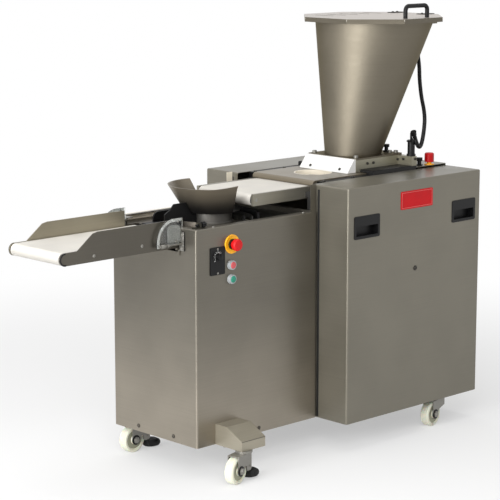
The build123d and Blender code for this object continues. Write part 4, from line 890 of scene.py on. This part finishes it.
def lid_welds():
    """Weld beads at the eight corners of the lid's skirt, pale as a painted highlight on the
    corners.
    """
    mesh = bmesh.new()
    reach = LID_APOTHEM / cos(pi / 8) - WELD_IN
    for k in range(8):
        turn = pi / 8 + k * pi / 4
        at = (LID_X + reach * cos(turn), reach * sin(turn), LID_FOOT + WELD_LIFT)
        # painted highlight: pale beads on the skirt's corners
        turned(mesh, at, UP, WELD_BEAD, sides=16)
    piece("lid_corner_welds", mesh, WELD_HIGHLIGHT, "lid")


def lid_tabs():
    """Dark hinge tabs on the lid's rear edge."""
    mesh = bmesh.new()
    for y in HINGES:
        low, high = y - TAB_HALF, y + TAB_HALF
        box(mesh, (TAB_X[0], low, TAB_Z[0]), (TAB_X[1], high, TAB_Z[1]), bevel=0.8)
    piece("lid_hinge_tabs", mesh, DARK_ZINC, "lid")


lid_welds()
lid_tabs()
screw_group("lid_hinge_screws", DARK_ZINC, "lid", (pan_screw, (4.4, 3.2), UP, HINGE_SCREWS))


# Divider's covers

COVERS = {"near_cover": -1, "far_cover": 1}
PLATE_AT, PLATE_SIZE = (489, 832), (164, 62)
PLATE_SHAPE = ((0, 0, 5), (0, 1.2, 5), (1.2, 1.8, 4.4))  # inset, distance out, corner radius
LINE_SHAPE = ((9, 1.8, 3), (9, 2.05, 3), (11, 2.05, 2.4), (11, 1.8, 2.4))
COVER_SCREW = (486, 592)
# black strips standing as painted shade in the gap beside the cabinet
GAP_SHADE_X, GAP_SHADE_Y, GAP_SHADE_Z = (147.4, 149.3), (205.6, 213.5), (104, 884)


def name_plate():
    """A bare red plate with a thin pale line, on the control side's cover."""
    def outline(inset, out, radius):
        points = rounded(PLATE_SIZE[0] - inset, PLATE_SIZE[1] - inset, radius)
        return [Vector((PLATE_AT[0] + x, COVER_Y - out, PLATE_AT[1] + z)) for x, z in points]

    mesh = bmesh.new()
    stacked(mesh, [outline(*ring) for ring in PLATE_SHAPE])
    piece("bare_plate", mesh, PLATE_RED, "near_cover_body")
    mesh = bmesh.new()
    stacked(mesh, [outline(*ring) for ring in LINE_SHAPE], hollow=True)
    piece("bare_plate_line", mesh, PLATE_LINE, "near_cover_body")


def cover_screws():
    """The screw in the middle of each cover."""
    for name, side in COVERS.items():
        at = (COVER_SCREW[0], -side * COVER_Y, COVER_SCREW[1])
        screw_group(name + "_screw", DARK_ZINC, name + "_body",
                    (pan_screw, (6.5, 4.5), (0, side, 0), [at]))


def cover_gap_shades():
    """Black strips down the covers' front edges, beside the rounder's cabinet, as painted shade in
    the gap.
    """
    for name, side in COVERS.items():
        mesh = bmesh.new()
        low, high = aside(side, *GAP_SHADE_Y)
        # painted shade: a black strip in the gap beside the cabinet
        box(mesh, (GAP_SHADE_X[0], low, GAP_SHADE_Z[0]), (GAP_SHADE_X[1], high, GAP_SHADE_Z[1]), bevel=0.6)
        piece(name + "_gap_shade", mesh, RUBBER, name + "_body")


name_plate()
cover_screws()
cover_gap_shades()


# Casters and the outrigger bracket

CASTERS = {  # X, Y and turn in degrees
    "rounder_far": (-302, 176, 0), "rounder_near": (-296, -313, 14),
    "divider_near": (668, -303, 10), "divider_far": (668, 303, -6),
}
TRAIL, AXLE_Z = 50, 44.5
WASHER_OUT, NUT_OUT, HUB_OUT = 21.8, 24.2, 12.9  # from the wheel's middle
WASHER = [(17, 0), (17, 1.4), (16, 2.4), (10.4, 2.4), (10.4, 0)]
NUT_FLATS = hexagon(11.8)
NUT = [(NUT_FLATS, 0), (NUT_FLATS, 3.4), (10.1, 4.4), (6.4, 4.4), (6.0, 5.6), (4.8, 6.2),
       (0.6, 6.4)]
# ring sunk in the wheel's web recess, a painted shade
RECESS_SHADE_RING = [(16.4, 0), (17.4, 0.9), (24, 1.3), (30.4, 0.9), (31.4, 0)]
BRAKED, SHOE_SIDES = ("rounder_far", "rounder_near"), 48
SHOE = (  # ovals from the foot up: centre, half length, half width and height
    (36, 22, 18, 4.5), (36, 29, 25, 7), (36, 32.5, 28.5, 12), (36, 33, 29, 18),
    (34.5, 31, 27.5, 24), (30, 24, 21, 30), (27, 17, 15, 32.4),
)
OUTRIGGER_BOLTS = [(x, y, 100.2) for x, y in ((-308, -238), (-228, -238), (-228, -306))]
SEAM = (-319.5, -329.8, 130.6), (-216.5, -328.4, 132.2)


def swivelled(name):
    """A caster's place on the floor and its turn."""
    x, y, turn = CASTERS[name]
    return Vector((x, y, 0)), Matrix.Rotation(radians(turn), 3, "Z")


def caster_details():
    """Axle nuts on their dark washers, and olive-grey rings in the wheels' web recesses as painted
    shade.
    """
    for name in CASTERS:
        at, spin = swivelled(name)
        axle = at + spin @ Vector((-TRAIL, 0, AXLE_Z))
        nuts, washers, rings = bmesh.new(), bmesh.new(), bmesh.new()
        for side in SIDES:
            out = spin @ Vector((0, side, 0))
            turned(washers, axle + out * WASHER_OUT, out, WASHER, hollow=True)
            turned(nuts, axle + out * NUT_OUT, out, NUT, sides=36)
            turned(rings, axle + out * HUB_OUT, out, RECESS_SHADE_RING)
        piece(name + "_axle_washers", washers, BLACK, name + "_fork_body")
        piece(name + "_axle_nuts", nuts, ZINC, name + "_fork_body")
        # painted shade in the wheels' web recesses
        piece(name + "_recess_shade_rings", rings, RECESS_SHADE, name + "_wheel_body")


def brake_shoes():
    """Rounded rubber shoes of the two brake pedals."""
    turns = [2 * pi * k / SHOE_SIDES for k in range(SHOE_SIDES)]
    ovals = [[Vector((middle + length * cos(t), width * sin(t), z)) for t in turns]
             for middle, length, width, z in SHOE]
    for name in BRAKED:
        at, spin = swivelled(name)
        mesh = bmesh.new()
        stacked(mesh, [[at + spin @ point for point in oval] for oval in ovals])
        piece(name + "_brake_shoe", mesh, RUBBER, name + "_pedal_body")


def outrigger_seam():
    """Dark seam on the end of the outrigger bracket."""
    mesh = bmesh.new()
    box(mesh, *SEAM, bevel=0.4)
    piece("outrigger_seam", mesh, DARK_ZINC, "base")


caster_details()
brake_shoes()
screw_group("outrigger_bolts", ZINC, "base", (hex_bolt, (7.5, 4.8), DOWN, OUTRIGGER_BOLTS))
outrigger_seam()


# Floor, background and light

FLOOR_HALF, FLOOR_COLOUR = 60.0, (0.8, 0.8, 0.8, 1)
FLOOR_SHARE, FLOOR_FADE = 0.45, (1.2, 3.2)  # share of white at the object, and where it grows to 1
WORLD_LIGHT, WORLD_COLOUR = 0.5, (1, 1, 1, 1)


def see_white(tree):
    """A factor of 1 for camera, mirror and glass rays, and 0 for the light on the object."""
    path = tree.node("ShaderNodeLightPath").outputs
    seen = tree.math("MAXIMUM", path["Is Camera Ray"], path["Is Glossy Ray"])
    return tree.math("MAXIMUM", seen, path["Is Transmission Ray"])


def stage():
    """A pale floor that keeps the soft shadow and turns white away from the object, and a white
    background that lights the object less than it shows."""
    data = bpy.data.meshes.new("floor")
    corners = [(x * FLOOR_HALF, y * FLOOR_HALF, 0) for x, y in ((-1, -1), (1, -1), (1, 1), (-1, 1))]
    data.from_pydata(corners, [], [(0, 1, 2, 3)])
    floor = bpy.data.objects.new("floor", data)
    scene.collection.objects.link(floor)
    material = bpy.data.materials.new("floor")
    data.materials.append(material)
    tree = Tree(material)
    tree.graph.nodes.clear()
    pale = tree.node("ShaderNodeBsdfDiffuse")
    pale.inputs["Color"].default_value = FLOOR_COLOUR
    glow = tree.node("ShaderNodeEmission")
    away = tree.node("ShaderNodeVectorMath", operation="LENGTH")
    tree.link(tree.node("ShaderNodeTexCoord").outputs["Object"], away.inputs[0])
    fade = tree.remap(away.outputs["Value"], *FLOOR_FADE, FLOOR_SHARE, 1.0)
    mixer = tree.node("ShaderNodeMixShader")
    tree.link(tree.times(fade, see_white(tree)), mixer.inputs["Fac"])
    tree.link(pale.outputs["BSDF"], mixer.inputs[1])
    tree.link(glow.outputs["Emission"], mixer.inputs[2])
    tree.link(mixer.outputs["Shader"], tree.node("ShaderNodeOutputMaterial").inputs["Surface"])

    world = bpy.data.worlds.new("studio")
    scene.world = world
    tree = Tree(world)
    back = tree.graph.nodes["Background"]
    back.inputs["Color"].default_value = WORLD_COLOUR
    tree.link(tree.remap(see_white(tree), 0, 1, WORLD_LIGHT, 1), back.inputs["Strength"])


def lamp(name, at, aim, size, power):
    """A soft square light that points at a place and doesn't show in the picture."""
    data = bpy.data.lights.new(name, "AREA")
    data.shape = "RECTANGLE"
    data.size = data.size_y = size
    data.energy = power
    made = bpy.data.objects.new(name, data)
    made.location = at
    made.rotation_euler = (Vector(aim) - Vector(at)).to_track_quat("-Z", "Y").to_euler()
    made.visible_camera = False
    scene.collection.objects.link(made)


stage()
lamp("key", at=(-3.2, -3.6, 3.4), aim=(0.0, 0.0, 0.7), size=2.6, power=108)
lamp("top", at=(0.2, 0.4, 4.4), aim=(0.1, 0.0, 0.6), size=3.2, power=68)
lamp("left", at=(-4.1, -0.9, 1.3), aim=(0.4, 0.0, 1.0), size=2.4, power=185)
